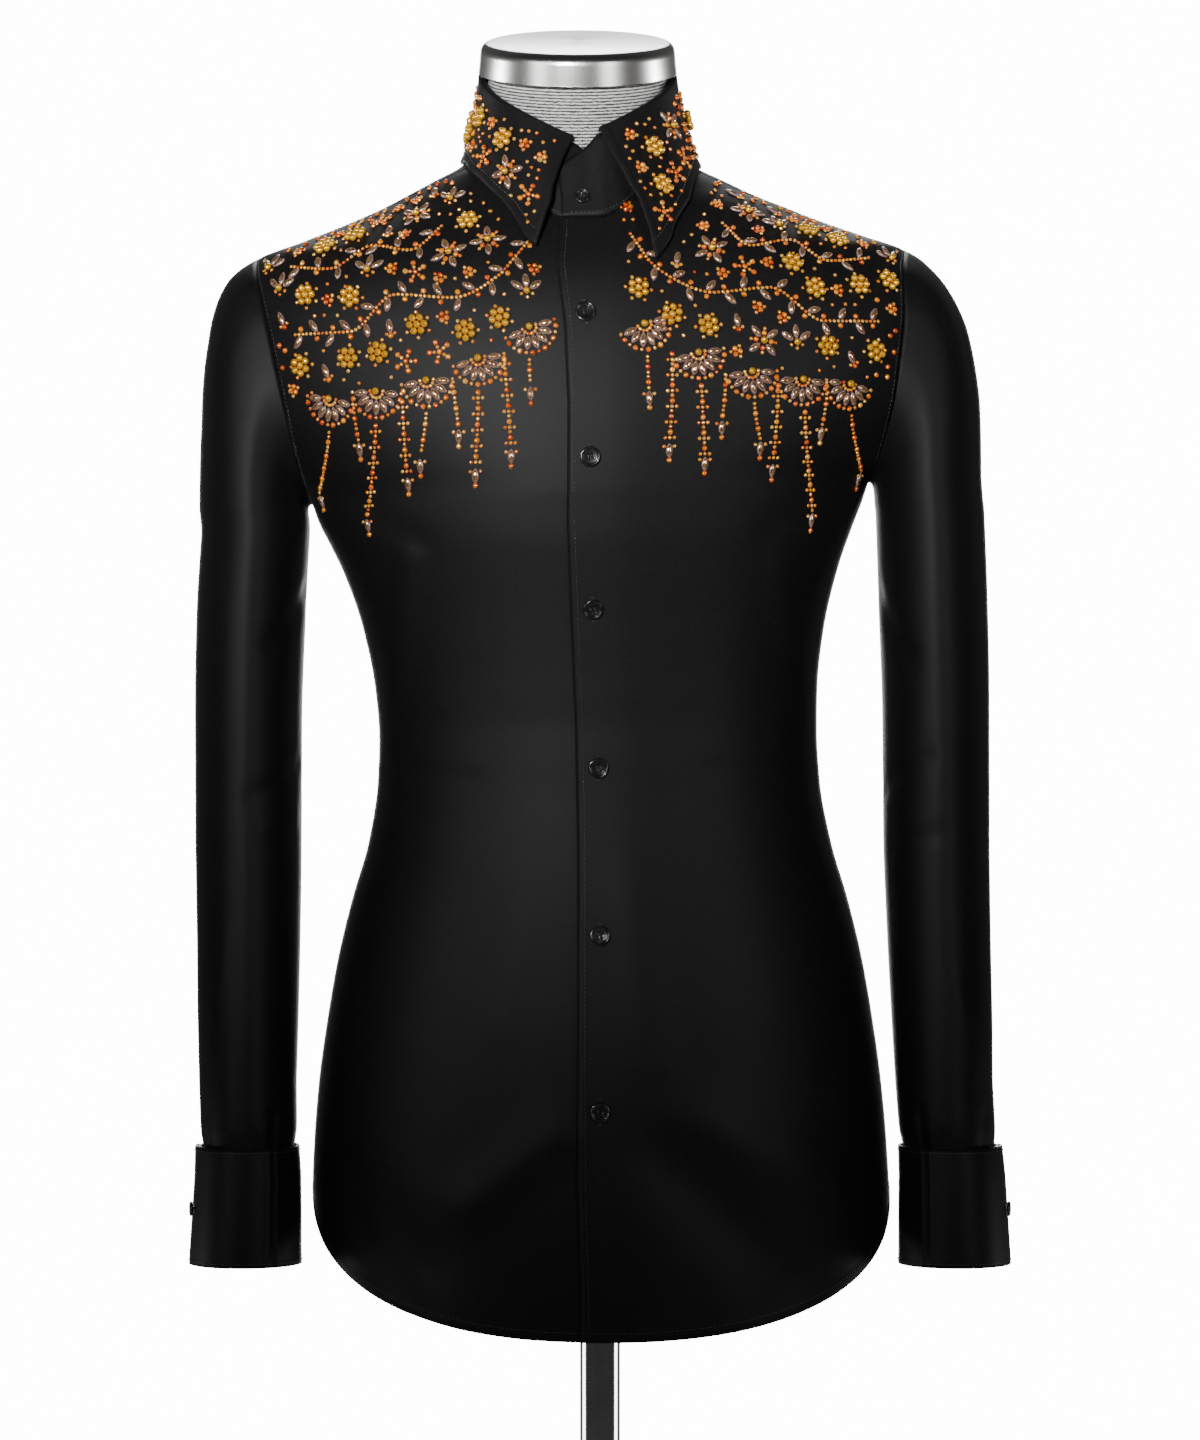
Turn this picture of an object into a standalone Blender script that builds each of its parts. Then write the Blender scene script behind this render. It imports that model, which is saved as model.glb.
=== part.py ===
# A long-sleeved dress shirt, closed to the collar, on a limbless dress form with a short counter stand.
# Metres, +Z up, the viewer looks along +Y, so the wearer's left side is at +X.
# The cloth is worked out on one body surface, whose heights are measured from just below the front hem.
import math

import bmesh
import bpy
import numpy as np

# Stand
BASE_RADIUS = 0.150
BASE_THICK = 0.008
BASE_EDGE = 0.003
POST_RADIUS = 0.013
FLANGE_RADIUS = 0.055
FLANGE_THICK = 0.005
HEM_HEIGHT = 0.255
FORM_BOTTOM = 0.105
FIT = 0.0003

# Cloth
WALL = 0.0012
STAND_WALL = 0.0014
CUFF_WALL = 0.0016
SEAM_INSET = 0.0002
LAYER_GAP = 0.0005

# Closure: the two fronts lie over each other by this much to each side of the centre line
OVERLAP_HALF = 0.0143
RAMP_END = 0.050

# Hem: both tails rise to the side seam
FRONT_HEM = 0.0112
BACK_HEM = 0.0040
SIDE_HEM = 0.099
HEM_POWER = 2.35
HEM_ZONE_TOP = 0.130

# Neck
NECKLINE_HALF = 0.0685
NECKLINE_FRONT = -0.0855
NECKLINE_BACK = 0.0630
NECK_STEP = 360.0 / 32
FOLD_HALF = 0.0608
FOLD_DEPTH = 0.0632
FOLD_FRONT = 0.7694
FOLD_SIDE = 0.8155
FOLD_BACK = 0.8240
NECK_LEAN = 0.2490
NECK_AXIS_Z = 0.776
NECK_AXIS_Y = -0.008
LEAF_CLEAR = 0.0012
LEAF_CLEAR_FRONT = 0.0012
STAND_RISE = 0.6

# How tall the band is past the centre line, as a share of its front height: its first and last columns
STAND_ENDS = ((0, 0.64), (-2, 0.84), (-1, 0.64))

# Neck cap
CAP_RADIUS = 0.0638
CAP_HEIGHT = 0.0205
CAP_TILT = math.radians(14.0)
CAP_CENTRE = (0.0, -0.0182, 0.8168)

# Buttons
BUTTON_RADIUS = 0.0065
BUTTON_THICK = 0.0024
SMALL_BUTTON_RADIUS = 0.0048
BUTTON_HEIGHTS = (0.6575, 0.5667, 0.4716, 0.3716, 0.2662, 0.1558)
COLLAR_BUTTON_HEIGHT = 0.7320

# Body sections by height: half width, front and back depth, middle of the side, squareness of the ellipse
BODY = np.array([
    # height half    front    back    middle  power
    (-0.020, 0.1830, -0.1120, 0.1190, 0.0000, 2.30),
    (0.050, 0.1850, -0.1130, 0.1205, 0.0000, 2.30),
    (0.100, 0.1858, -0.1135, 0.1215, 0.0000, 2.30),
    (0.131, 0.1845, -0.1135, 0.1215, 0.0000, 2.28),
    (0.170, 0.1812, -0.1130, 0.1205, 0.0000, 2.25),
    (0.208, 0.1760, -0.1115, 0.1175, 0.0000, 2.25),
    (0.247, 0.1693, -0.1085, 0.1110, 0.0000, 2.22),
    (0.286, 0.1600, -0.1050, 0.1030, 0.0000, 2.20),
    (0.324, 0.1490, -0.1015, 0.0950, 0.0000, 2.20),
    (0.363, 0.1425, -0.0995, 0.0890, 0.0000, 2.20),
    (0.392, 0.1412, -0.0995, 0.0880, 0.0000, 2.20),
    (0.421, 0.1425, -0.1015, 0.0900, 0.0000, 2.20),
    (0.460, 0.1484, -0.1060, 0.0965, 0.0000, 2.20),
    (0.499, 0.1596, -0.1120, 0.1055, 0.0000, 2.20),
    (0.518, 0.1674, -0.1150, 0.1100, 0.0000, 2.20),
    (0.537, 0.1757, -0.1170, 0.1135, 0.0010, 2.20),
    (0.548, 0.1795, -0.1180, 0.1150, 0.0015, 2.20),
    (0.570, 0.1990, -0.1185, 0.1180, 0.0020, 2.20),
    (0.600, 0.2220, -0.1180, 0.1200, 0.0030, 2.20),
    (0.630, 0.2320, -0.1155, 0.1205, 0.0035, 2.20),
    (0.660, 0.2340, -0.1105, 0.1190, 0.0040, 2.20),
    (0.680, 0.2290, -0.1050, 0.1150, 0.0050, 2.20),
    (0.695, 0.2160, -0.0985, 0.1095, 0.0055, 2.20),
    (0.702, 0.2080, -0.0945, 0.1055, 0.0060, 2.18),
    (0.7115, 0.1820, -0.0885, 0.0995, 0.0060, 2.15),
    (0.721, 0.1560, -0.0825, 0.0935, 0.0060, 2.12),
    (0.731, 0.1320, -0.0770, 0.0875, 0.0055, 2.10),
    (0.7405, 0.1110, -0.0720, 0.0810, 0.0045, 2.08),
    (0.750, 0.0920, -0.0675, 0.0740, 0.0030, 2.05),
    (0.757, 0.0775, -0.0650, 0.0680, 0.0010, 2.02),
    (0.763, 0.0700, -0.0640, 0.0635, -0.0010, 2.00),
    (0.772, 0.0670, -0.0635, 0.0590, -0.0030, 2.00),
])

# The armhole's distance from the middle, by height, from the underarm to the shoulder point
ARMHOLE = np.array([
    # height  distance
    (0.548, 0.1795),
    (0.558, 0.1823),
    (0.570, 0.1860),
    (0.595, 0.1920),
    (0.626, 0.1975),
    (0.660, 0.2028),
    (0.680, 0.2050),
    (0.702, 0.2080),
])
UNDERARM = 0.548
SHOULDER_POINT = 0.702
YOKE_SEAM = 0.660

# Sleeve sections by height: centre, half width, half depth, middle of the depth
SLEEVE = np.array([
    # height centre  half    depth   middle
    (0.118, 0.2247, 0.0288, 0.0425, -0.0180),
    (0.129, 0.2246, 0.0294, 0.0430, -0.0178),
    (0.140, 0.2242, 0.0309, 0.0450, -0.0175),
    (0.170, 0.2236, 0.0314, 0.0470, -0.0160),
    (0.208, 0.2230, 0.0324, 0.0490, -0.0140),
    (0.266, 0.2220, 0.0334, 0.0520, -0.0100),
    (0.324, 0.2215, 0.0342, 0.0555, -0.0060),
    (0.402, 0.2215, 0.0345, 0.0600, -0.0025),
    (0.479, 0.2197, 0.0352, 0.0635, 0.0000),
    (0.535, 0.2172, 0.0350, 0.0650, 0.0010),
])
SLEEVE_TOP_RING = 0.535
CAP_STEPS = (0.0, 0.12, 0.25, 0.40, 0.55, 0.70, 0.85, 1.0)
CAP_START = (0.93, 0.0, -0.37)
CAP_START_PULL = 0.27
CAP_END_PULL = 0.45

# Cuff sections by height: centre, half width, half depth, middle of the depth
CUFF = np.array([
    # height centre  half    depth   middle
    (0.0535, 0.2265, 0.0352, 0.0470, -0.0195),
    (0.0600, 0.2264, 0.0350, 0.0468, -0.0194),
    (0.0950, 0.2254, 0.0338, 0.0460, -0.0186),
    (0.1290, 0.2246, 0.0325, 0.0452, -0.0178),
])
CUFF_STEP = 15.0
CUFF_START = 60.0
CUFF_STEPS = 27
CUFF_BUTTON_ANGLE = 75.0
CUFF_BUTTON_HEIGHT = 0.089

# How the body and the sleeves lean to the viewer's left, and how the shoulders tip, by height
LEAN = np.array([
    # height  body    sleeve   tip
    (-0.30, 0.0000, 0.0000, 0.000),
    (-0.01, 0.0028, 0.0000, 0.000),
    (0.050, 0.0022, 0.0000, 0.000),
    (0.110, 0.0004, 0.0000, 0.000),
    (0.170, 0.0000, -0.0026, 0.000),
    (0.320, 0.0000, -0.0048, 0.000),
    (0.400, -0.0014, -0.0050, 0.000),
    (0.480, -0.0048, -0.0050, 0.010),
    (0.530, -0.0066, -0.0046, 0.030),
    (0.548, -0.0062, -0.0062, 0.040),
    (0.600, -0.0060, -0.0060, 0.030),
    (0.650, -0.0083, -0.0083, 0.023),
    (0.690, -0.0130, -0.0130, 0.016),
    (0.7115, -0.0115, -0.0115, 0.012),
    (0.731, -0.0110, -0.0110, 0.006),
    (0.7405, -0.0130, -0.0130, 0.003),
    (0.760, -0.0145, -0.0145, 0.000),
    (0.900, -0.0140, -0.0140, 0.000),
])

# Folds fade out towards the side seams, over this share of the turn
FOLD_FADE = 0.35

# Large soft folds of the fronts and the back: two ends in the front view, half breadth, height out of the cloth
FOLDS = np.array([
    # side  x0      z0     x1      z1     breadth height
    (-1, -0.085, 0.098, -0.028, 0.142, 0.016, 0.0040),
    (-1, -0.165, 0.120, -0.115, 0.060, 0.018, -0.0030),
    (-1, -0.115, 0.505, -0.139, 0.385, 0.010, 0.0022),
    (-1, 0.040, 0.128, 0.115, 0.050, 0.022, -0.0035),
    (-1, 0.060, 0.150, 0.130, 0.118, 0.020, 0.0030),
    (-1, 0.120, 0.495, 0.140, 0.400, 0.010, 0.0018),
    (1, -0.095, 0.110, -0.040, 0.160, 0.020, 0.0035),
    (1, 0.050, 0.150, 0.120, 0.080, 0.020, 0.0035),
    (1, -0.060, 0.420, 0.070, 0.395, 0.018, 0.0025),
])

# The collar leaf from its front edge to the middle of the back: angle of the fold, angle and height of the outer edge
LEAF_RIGHT = np.array([
    # along  fold    edge   height
    (0.00, 2.0, 6.25, 0.6990),
    (0.20, 25.0, 16.2, 0.7225),
    (0.40, 50.0, 38.7, 0.7455),
    (0.60, 82.0, 80.0, 0.7590),
    (0.80, 128.0, 128.0, 0.7590),
    (1.00, 180.0, 180.0, 0.7570),
])
LEAF_LEFT = np.array([
    # along  fold    edge   height
    (0.00, 13.0, 10.7, 0.6896),
    (0.20, 28.0, 16.1, 0.7090),
    (0.40, 46.0, 29.9, 0.7310),
    (0.60, 73.0, 59.2, 0.7515),
    (0.80, 122.0, 119.0, 0.7590),
    (1.00, 180.0, 180.0, 0.7570),
])
LEAF_BOW = 0.0024
LEAF_HOLLOW = 0.0020
LEAF_ROWS = (0.0, 0.06, 0.30, 0.65, 1.0)

# Heights of the grid's rows
SKIRT_ROWS = (0.170, 0.208, 0.247, 0.286, 0.324, 0.363, 0.392, 0.421, 0.460, 0.499, 0.525)
ARMHOLE_ROWS = (0.548, 0.5505, 0.558, 0.570, 0.590, 0.615, 0.640, 0.660, 0.680, 0.694, 0.702)
SHOULDER_ROWS = (0.7115, 0.7185)
HEM_STEPS = (0.0, 0.25, 0.5, 0.75)
DIAGONAL_BIAS = 0.9
FRONT_COLUMNS = 8
BACK_COLUMNS = 16


def through(stations, column, at):
    # A smooth curve through one column of a table, which never overshoots its stations.
    xs = stations[:, 0]
    ys = stations[:, column]
    step = np.diff(xs)
    slope = np.diff(ys) / step
    inner = np.zeros(len(xs))
    same = slope[:-1] * slope[1:] > 0
    weight_a = 2 * step[1:] + step[:-1]
    weight_b = step[1:] + 2 * step[:-1]
    safe = np.where(same, slope[:-1], 1.0)
    safe_next = np.where(same, slope[1:], 1.0)
    mean = (weight_a + weight_b) / (weight_a / safe + weight_b / safe_next)
    inner[1:-1] = np.where(same, mean, 0.0)
    inner[0] = slope[0]
    inner[-1] = slope[-1]
    at = np.clip(np.asarray(at, dtype=float), xs[0], xs[-1])
    k = np.clip(np.searchsorted(xs, at) - 1, 0, len(xs) - 2)
    t = (at - xs[k]) / step[k]
    rise = ys[k] * (1 + 2 * t) * (1 - t) ** 2 + ys[k + 1] * t ** 2 * (3 - 2 * t)
    bend = inner[k] * t * (1 - t) ** 2 - inner[k + 1] * t ** 2 * (1 - t)
    return rise + step[k] * bend


def ease(t):
    # A soft step from 0 to 1.
    t = np.clip(t, 0.0, 1.0)
    return t * t * (3 - 2 * t)


def fold_lift(x, z, back):
    # The soft folds: each is a ridge with round flanks along a line in the front view.
    lift = np.zeros(np.broadcast(x, z).shape)
    for side, x0, z0, x1, z1, breadth, height in FOLDS:
        along = ((x - x0) * (x1 - x0) + (z - z0) * (z1 - z0)) / ((x1 - x0) ** 2 + (z1 - z0) ** 2)
        near = np.clip(along, 0.0, 1.0)
        away = np.hypot(x - x0 - near * (x1 - x0), z - z0 - near * (z1 - z0))
        on_side = back if side > 0 else ~back
        lift = lift + np.where(on_side, height * np.exp(-(away / breadth) ** 2), 0.0)
    return lift


def section(theta, z):
    # The bare body section: a squarish ellipse whose front and back halves have their own depth.
    half = through(BODY, 1, z)
    front = through(BODY, 2, z)
    back = through(BODY, 3, z)
    middle = through(BODY, 4, z)
    power = 2.0 / through(BODY, 5, z)
    sine = np.sin(theta)
    cosine = np.cos(theta)
    x = half * np.sign(sine) * np.abs(sine) ** power
    depth = np.where(cosine > 0, middle - front, back - middle)
    y = middle - depth * np.sign(cosine) * np.abs(cosine) ** power
    return x, y


def body(theta, z):
    # The shirt's body surface with its folds; theta runs from the front centre towards +X.
    theta = np.asarray(theta, dtype=float)
    z = np.asarray(z, dtype=float)
    x, y = section(theta, z)
    back = np.cos(theta) < 0
    lift = fold_lift(x, z, back) * ease(np.abs(np.cos(theta)) / FOLD_FADE)
    return np.stack([x, y + np.where(back, lift, -lift), z + 0 * x], axis=-1)


def body_normal(theta, z):
    # The outward direction, from small steps along the surface both ways.
    turn = 0.002
    rise = 0.0005
    across = body(theta + turn, z) - body(theta - turn, z)
    upward = body(theta, z + rise) - body(theta, z - rise)
    out = np.cross(across, upward)
    return out / np.linalg.norm(out, axis=-1, keepdims=True)


def theta_of_x(x, z):
    # The angle at which the front half of the section reaches x.
    half = through(BODY, 1, z)
    power = through(BODY, 5, z)
    ratio = np.clip(np.abs(x) / half, 0.0, 1.0)
    return np.sign(x) * np.arcsin(ratio ** (power / 2.0))


def neckline_point(angle):
    # The neckline is an ellipse in plan laid on the body; halving the height finds where it meets it.
    flat = math.radians(NECK_STEP)
    angle = (angle + math.pi) % (2 * math.pi) - math.pi
    solved = math.copysign(max(abs(angle), flat), angle if angle else 1.0)
    x = NECKLINE_HALF * math.sin(solved)
    depth = NECKLINE_FRONT if math.cos(solved) > 0 else -NECKLINE_BACK
    y = depth * math.cos(solved)
    low = 0.700
    high = 0.772
    for _ in range(40):
        z = (low + high) / 2
        half = float(through(BODY, 1, z))
        middle = float(through(BODY, 4, z))
        edge = through(BODY, 2, z) - middle if y < middle else through(BODY, 3, z) - middle
        power = float(through(BODY, 5, z))
        outside = (abs(x) / half) ** power + abs((y - middle) / float(edge)) ** power
        if outside > 1:
            high = z
        else:
            low = z
    if abs(angle) < flat:
        x = NECKLINE_HALF * math.sin(angle)
    theta = float(theta_of_x(x, z))
    if y > float(through(BODY, 4, z)):
        theta = math.pi - theta
    return theta, z


def round_back(angle):
    # The same, with the angle counted on from the front centre all the way round.
    theta, z = neckline_point(angle)
    return (theta + 2 * math.pi if theta < 0 else theta), z


def armhole_theta(z):
    return theta_of_x(through(ARMHOLE, 1, np.minimum(z, SHOULDER_POINT)), z)


# Neckline stations from the front overlap to the forward shoulder seam, then round the back
NECK_FRONT = [neckline_point(math.radians(NECK_STEP * k)) for k in (1, 2, 3, 4, 5)]
NECK_FRONT.append(neckline_point(math.radians(NECK_STEP * 5.88)))
NECK_BACK = [round_back(math.radians(NECK_STEP * k)) for k in range(6, 27)]
NECK_LOW = NECK_FRONT[0][1]
SEAM_END_THETA, SEAM_END_Z = NECK_BACK[0]


def seam_theta(z):
    # The forward shoulder seam runs from the shoulder point to the neckline a little ahead of the ridge.
    tip_half = float(through(BODY, 1, SHOULDER_POINT))
    end_half = float(through(BODY, 1, SEAM_END_Z))
    part = (tip_half - through(BODY, 1, z)) / (tip_half - end_half)
    return math.pi / 2 + (SEAM_END_THETA - math.pi / 2) * np.clip(part, 0.0, 1.0)


def outer_theta(z):
    # Where a front ends sideways: the side seam, then the armhole, then the shoulder seam.
    if z < UNDERARM:
        return math.pi / 2
    if z < SHOULDER_POINT:
        return float(armhole_theta(z))
    return float(seam_theta(z))


def hem_height(theta, z_top, low):
    # The tail's lower edge at each angle, a flattened quarter curve up to the side seam.
    x, _ = section(theta, z_top)
    part = np.clip(np.abs(x) / through(BODY, 1, z_top), 0.0, 1.0)
    return low + (SIDE_HEM - low) * (1 - (1 - part ** HEM_POWER) ** (1 / HEM_POWER))


def warp(points, sleeve=False):
    # The whole garment leans a little to the viewer's left above the waist, and its shoulders tip.
    points = np.array(points, dtype=float)
    z = points[..., 2].copy()
    lean = np.interp(z, LEAN[:, 0], LEAN[:, 2 if sleeve else 1])
    tip = np.interp(z, LEAN[:, 0], LEAN[:, 3])
    points[..., 2] = z + points[..., 0] * tip + HEM_HEIGHT
    points[..., 0] = points[..., 0] + lean
    return points


def material(name, colour, rough, metal):
    made = bpy.data.materials.new(name)
    made.use_nodes = True
    shader = made.node_tree.nodes["Principled BSDF"]
    shader.inputs["Base Color"].default_value = (*colour, 1.0)
    shader.inputs["Roughness"].default_value = rough
    shader.inputs["Metallic"].default_value = metal
    made.diffuse_color = (*colour, 1.0)
    made.roughness = rough
    made.metallic = metal
    return made


def new_object(name, vertices, faces, look, sharp=35.0):
    # One closed solid whose faces point outwards, shaded smooth but for its sharp edges.
    mesh = bpy.data.meshes.new(name)
    mesh.from_pydata([tuple(v) for v in vertices], [], faces)
    work = bmesh.new()
    work.from_mesh(mesh)
    bmesh.ops.recalc_face_normals(work, faces=work.faces)
    bmesh.ops.triangulate(work, faces=[f for f in work.faces if len(f.verts) > 3])
    work.to_mesh(mesh)
    work.free()
    mesh.shade_smooth()
    mesh.set_sharp_from_angle(angle=math.radians(sharp))
    mesh.materials.append(look)
    made = bpy.data.objects.new(name, mesh)
    bpy.context.scene.collection.objects.link(made)
    return made


def grid_normals(points, closed):
    # Outward directions of a grid whose rows rise and whose columns may close on themselves.
    if closed:
        across = np.roll(points, -1, axis=1) - np.roll(points, 1, axis=1)
    else:
        across = np.gradient(points, axis=1)
    upward = np.gradient(points, axis=0)
    out = np.cross(across, upward)
    return out / np.linalg.norm(out, axis=-1, keepdims=True)


def cloth(name, outer, normals, wall, look, keep=None, closed=False, sleeve=False):
    # A wall of cloth: the outer grid, the same grid moved in by the wall, and rims along every free edge.
    rows, columns = outer.shape[:2]
    inner = outer - normals * wall
    vertices = warp(np.concatenate([outer.reshape(-1, 3), inner.reshape(-1, 3)]), sleeve)
    shift = rows * columns
    spans = columns if closed else columns - 1
    faces = []
    edges = {}
    for r in range(rows - 1):
        for c in range(spans):
            if keep is not None and not keep[r][c]:
                continue
            d = (c + 1) % columns
            a, b, e, f = r * columns + c, r * columns + d, (r + 1) * columns + d, (r + 1) * columns + c
            long_way = np.linalg.norm(outer[r, c] - outer[r + 1, d])
            short_way = np.linalg.norm(outer[r, d] - outer[r + 1, c])
            halves = ((a, b, e), (a, e, f))
            if short_way < long_way * DIAGONAL_BIAS:
                halves = ((a, b, f), (b, e, f))
            for tri in halves:
                faces.append(tri)
                faces.append((tri[2] + shift, tri[1] + shift, tri[0] + shift))
                for k in range(3):
                    pair = (tri[k], tri[(k + 1) % 3])
                    edges[pair] = edges.get(pair, 0) + 1
    for start, end in edges:
        if (end, start) not in edges:
            faces.append((end, start, start + shift))
            faces.append((end, start + shift, end + shift))
    used = sorted({v for face in faces for v in face})
    number = {v: k for k, v in enumerate(used)}
    faces = [tuple(number[v] for v in face) for face in faces]
    return new_object(name, vertices[used], faces, look)


def pull_in(points, row=None, column=None, inner=None):
    # Moves one edge of a grid a hair towards the inside, which leaves the seam's gap.
    take = (slice(None), column) if row is None else (row, slice(None))
    from_take = (slice(None), inner) if row is None else (inner, slice(None))
    way = points[from_take] - points[take]
    length = np.linalg.norm(way, axis=-1, keepdims=True)
    points[take] = points[take] + way / np.maximum(length, 1e-9) * SEAM_INSET
    return points


def front_rows():
    # Each row: height of its middle and outer part, and the angle where its main part starts.
    rows = []
    for step in HEM_STEPS:
        rows.append((step, None))
    heights = (HEM_ZONE_TOP,) + SKIRT_ROWS + ARMHOLE_ROWS + SHOULDER_ROWS + (NECK_LOW,)
    for z in heights:
        rows.append((None, z))
    return rows


def make_front(name, side, on_top, look):
    # side is +1 for the wearer's left front and -1 for the right one.
    strip = (-OVERLAP_HALF, 0.0, OVERLAP_HALF)
    thetas = []
    heights = []
    keep = []
    for step, z in front_rows():
        level = HEM_ZONE_TOP if z is None else z
        strip_theta = [float(theta_of_x(x, level)) for x in strip]
        start = strip_theta[-1]
        main = np.linspace(start, outer_theta(level), FRONT_COLUMNS + 1)
        theta = np.concatenate([strip_theta[:2], main])
        if z is None:
            hem = hem_height(theta, HEM_ZONE_TOP, FRONT_HEM)
            height = hem + step * (HEM_ZONE_TOP - hem)
        else:
            height = np.full(len(theta), z)
        thetas.append(theta)
        heights.append(height)
        keep.append([True] * (len(theta) - 1))
    keep[-1] = [False, False] + [True] * FRONT_COLUMNS
    for theta_in, z in NECK_FRONT[1:]:
        main = np.linspace(theta_in, outer_theta(z), FRONT_COLUMNS + 1)
        thetas.append(np.concatenate([[theta_in, theta_in], main]))
        heights.append(np.full(FRONT_COLUMNS + 3, z))
        keep.append([False, False] + [True] * FRONT_COLUMNS)
    theta = np.array(thetas) * side
    height = np.array(heights)
    points = body(theta, height)
    normals = body_normal(theta, height)
    points = pull_in(points, column=-1, inner=-2)
    if on_top:
        lift = (WALL + LAYER_GAP) * (1 - ease((side * points[..., 0] - OVERLAP_HALF) / RAMP_END))
        points = points + normals * lift[..., None]
    if side < 0:
        points = points[:, ::-1]
        normals = normals[:, ::-1]
        keep = [row[::-1] for row in keep]
    return cloth(name, points, normals, WALL, look, keep)


def make_back(look):
    thetas = []
    heights = []
    for step in HEM_STEPS:
        theta = np.linspace(math.pi / 2, 3 * math.pi / 2, BACK_COLUMNS + 1)
        hem = hem_height(theta, HEM_ZONE_TOP, BACK_HEM)
        thetas.append(theta)
        heights.append(hem + step * (HEM_ZONE_TOP - hem))
    for z in (HEM_ZONE_TOP,) + SKIRT_ROWS + tuple(z for z in ARMHOLE_ROWS if z <= YOKE_SEAM):
        start = math.pi - outer_theta(z)
        thetas.append(np.linspace(start, 2 * math.pi - start, BACK_COLUMNS + 1))
        heights.append(np.full(BACK_COLUMNS + 1, z))
    theta = np.array(thetas)
    height = np.array(heights)
    points = body(theta, height)
    normals = body_normal(theta, height)
    points = pull_in(points, column=0, inner=1)
    points = pull_in(points, column=-1, inner=-2)
    points = pull_in(points, row=-1, inner=-2)
    return cloth("back", points, normals, WALL, look)


def make_yoke(look):
    # Rows from the back seam to the neckline; the upper rows follow the neckline's rise to the back.
    top = np.array([theta for theta, _ in NECK_BACK])
    share = (top - top[0]) / (top[-1] - top[0])
    rise = np.array([z for _, z in NECK_BACK]) - SEAM_END_Z
    levels = [z for z in ARMHOLE_ROWS if z >= YOKE_SEAM] + list(SHOULDER_ROWS)
    levels += [z for _, z in NECK_FRONT]
    thetas = []
    heights = []
    for z in levels:
        start = math.pi - outer_theta(z) if z < SHOULDER_POINT else outer_theta(z)
        part = ((z - YOKE_SEAM) / (SEAM_END_Z - YOKE_SEAM)) ** 3
        thetas.append(start + share * (2 * math.pi - 2 * start))
        heights.append(z + part * rise)
    thetas.append(top)
    heights.append(SEAM_END_Z + rise)
    theta = np.array(thetas)
    height = np.array(heights)
    points = body(theta, height)
    normals = body_normal(theta, height)
    points = pull_in(points, column=0, inner=1)
    points = pull_in(points, column=-1, inner=-2)
    points = pull_in(points, row=0, inner=1)
    return cloth("yoke", points, normals, WALL, look)


def armhole_loop():
    # Up the front side of the armhole and down the back, on the same heights as the panels' rows.
    z = np.array(ARMHOLE_ROWS)
    theta = np.array([math.pi / 2] + [outer_theta(v) for v in ARMHOLE_ROWS[1:-1]] + [math.pi / 2])
    front = body(theta, z)
    back = body(math.pi - theta, z)[1:-1][::-1]
    loop = np.concatenate([front, back])
    half_length = np.concatenate([[0.0], np.cumsum(np.linalg.norm(np.diff(front, axis=0), axis=1))])
    phi = math.pi * half_length / half_length[-1]
    phi = np.concatenate([phi, 2 * math.pi - phi[1:-1][::-1]])
    return loop, phi


def sleeve_ring(phi, z):
    # phi 0 lies at the underarm side, a quarter turn at the front, a half turn at the outer side.
    centre = through(SLEEVE, 1, z)
    half = through(SLEEVE, 2, z)
    depth = through(SLEEVE, 3, z)
    middle = through(SLEEVE, 4, z)
    return np.stack([centre - half * np.cos(phi), middle - depth * np.sin(phi), z + 0 * phi], axis=-1)


def sleeve_grid():
    # The cap sweeps from the armhole to the first level ring along curves; the arm below is level rings.
    loop, phi = armhole_loop()
    loop = loop + np.array([SEAM_INSET, 0.0, 0.0])
    ring = sleeve_ring(phi, SLEEVE_TOP_RING)
    reach = np.linalg.norm(ring - loop, axis=1, keepdims=True)
    leave = loop + reach * CAP_START_PULL * np.array(CAP_START)
    arrive = ring + reach * CAP_END_PULL * np.array([0.0, 0.0, 1.0])
    grid = []
    for t in CAP_STEPS:
        curve = loop * (1 - t) ** 3 + 3 * leave * t * (1 - t) ** 2
        grid.append(curve + 3 * arrive * t ** 2 * (1 - t) + ring * t ** 3)
    for z in SLEEVE[::-1, 0][1:]:
        grid.append(sleeve_ring(phi, z))
    return np.array(grid)[::-1]


def mirrored(grid, side):
    # The wearer's right sleeve is the left one turned over, with its columns run the other way.
    if side > 0:
        return grid
    return (grid * np.array([-1.0, 1.0, 1.0]))[:, ::-1]


def make_sleeve(name, side, look):
    grid = mirrored(sleeve_grid(), side)
    normals = grid_normals(grid, True)
    outward = normals[2, 5] @ (grid[2, 5] - grid[2].mean(axis=0))
    normals = normals if outward > 0 else -normals
    return cloth(name, grid, normals, WALL, look, closed=True, sleeve=True)


def make_placket(name, side, look):
    # A strip one column wide on the outer back of the sleeve, made from the sleeve's points moved out.
    grid = mirrored(sleeve_grid(), side)
    normals = grid_normals(grid, True)
    outward = normals[2, 5] @ (grid[2, 5] - grid[2].mean(axis=0))
    normals = normals if outward > 0 else -normals
    columns = [12, 13] if side > 0 else [grid.shape[1] - 1 - 13, grid.shape[1] - 1 - 12]
    rows = slice(2, 7)
    lifted = grid[rows][:, columns] + normals[rows][:, columns] * (WALL + FIT)
    lifted[0, :, 2] += FIT * 3
    return cloth(name, lifted, normals[rows][:, columns], WALL, look, sleeve=True)


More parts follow.
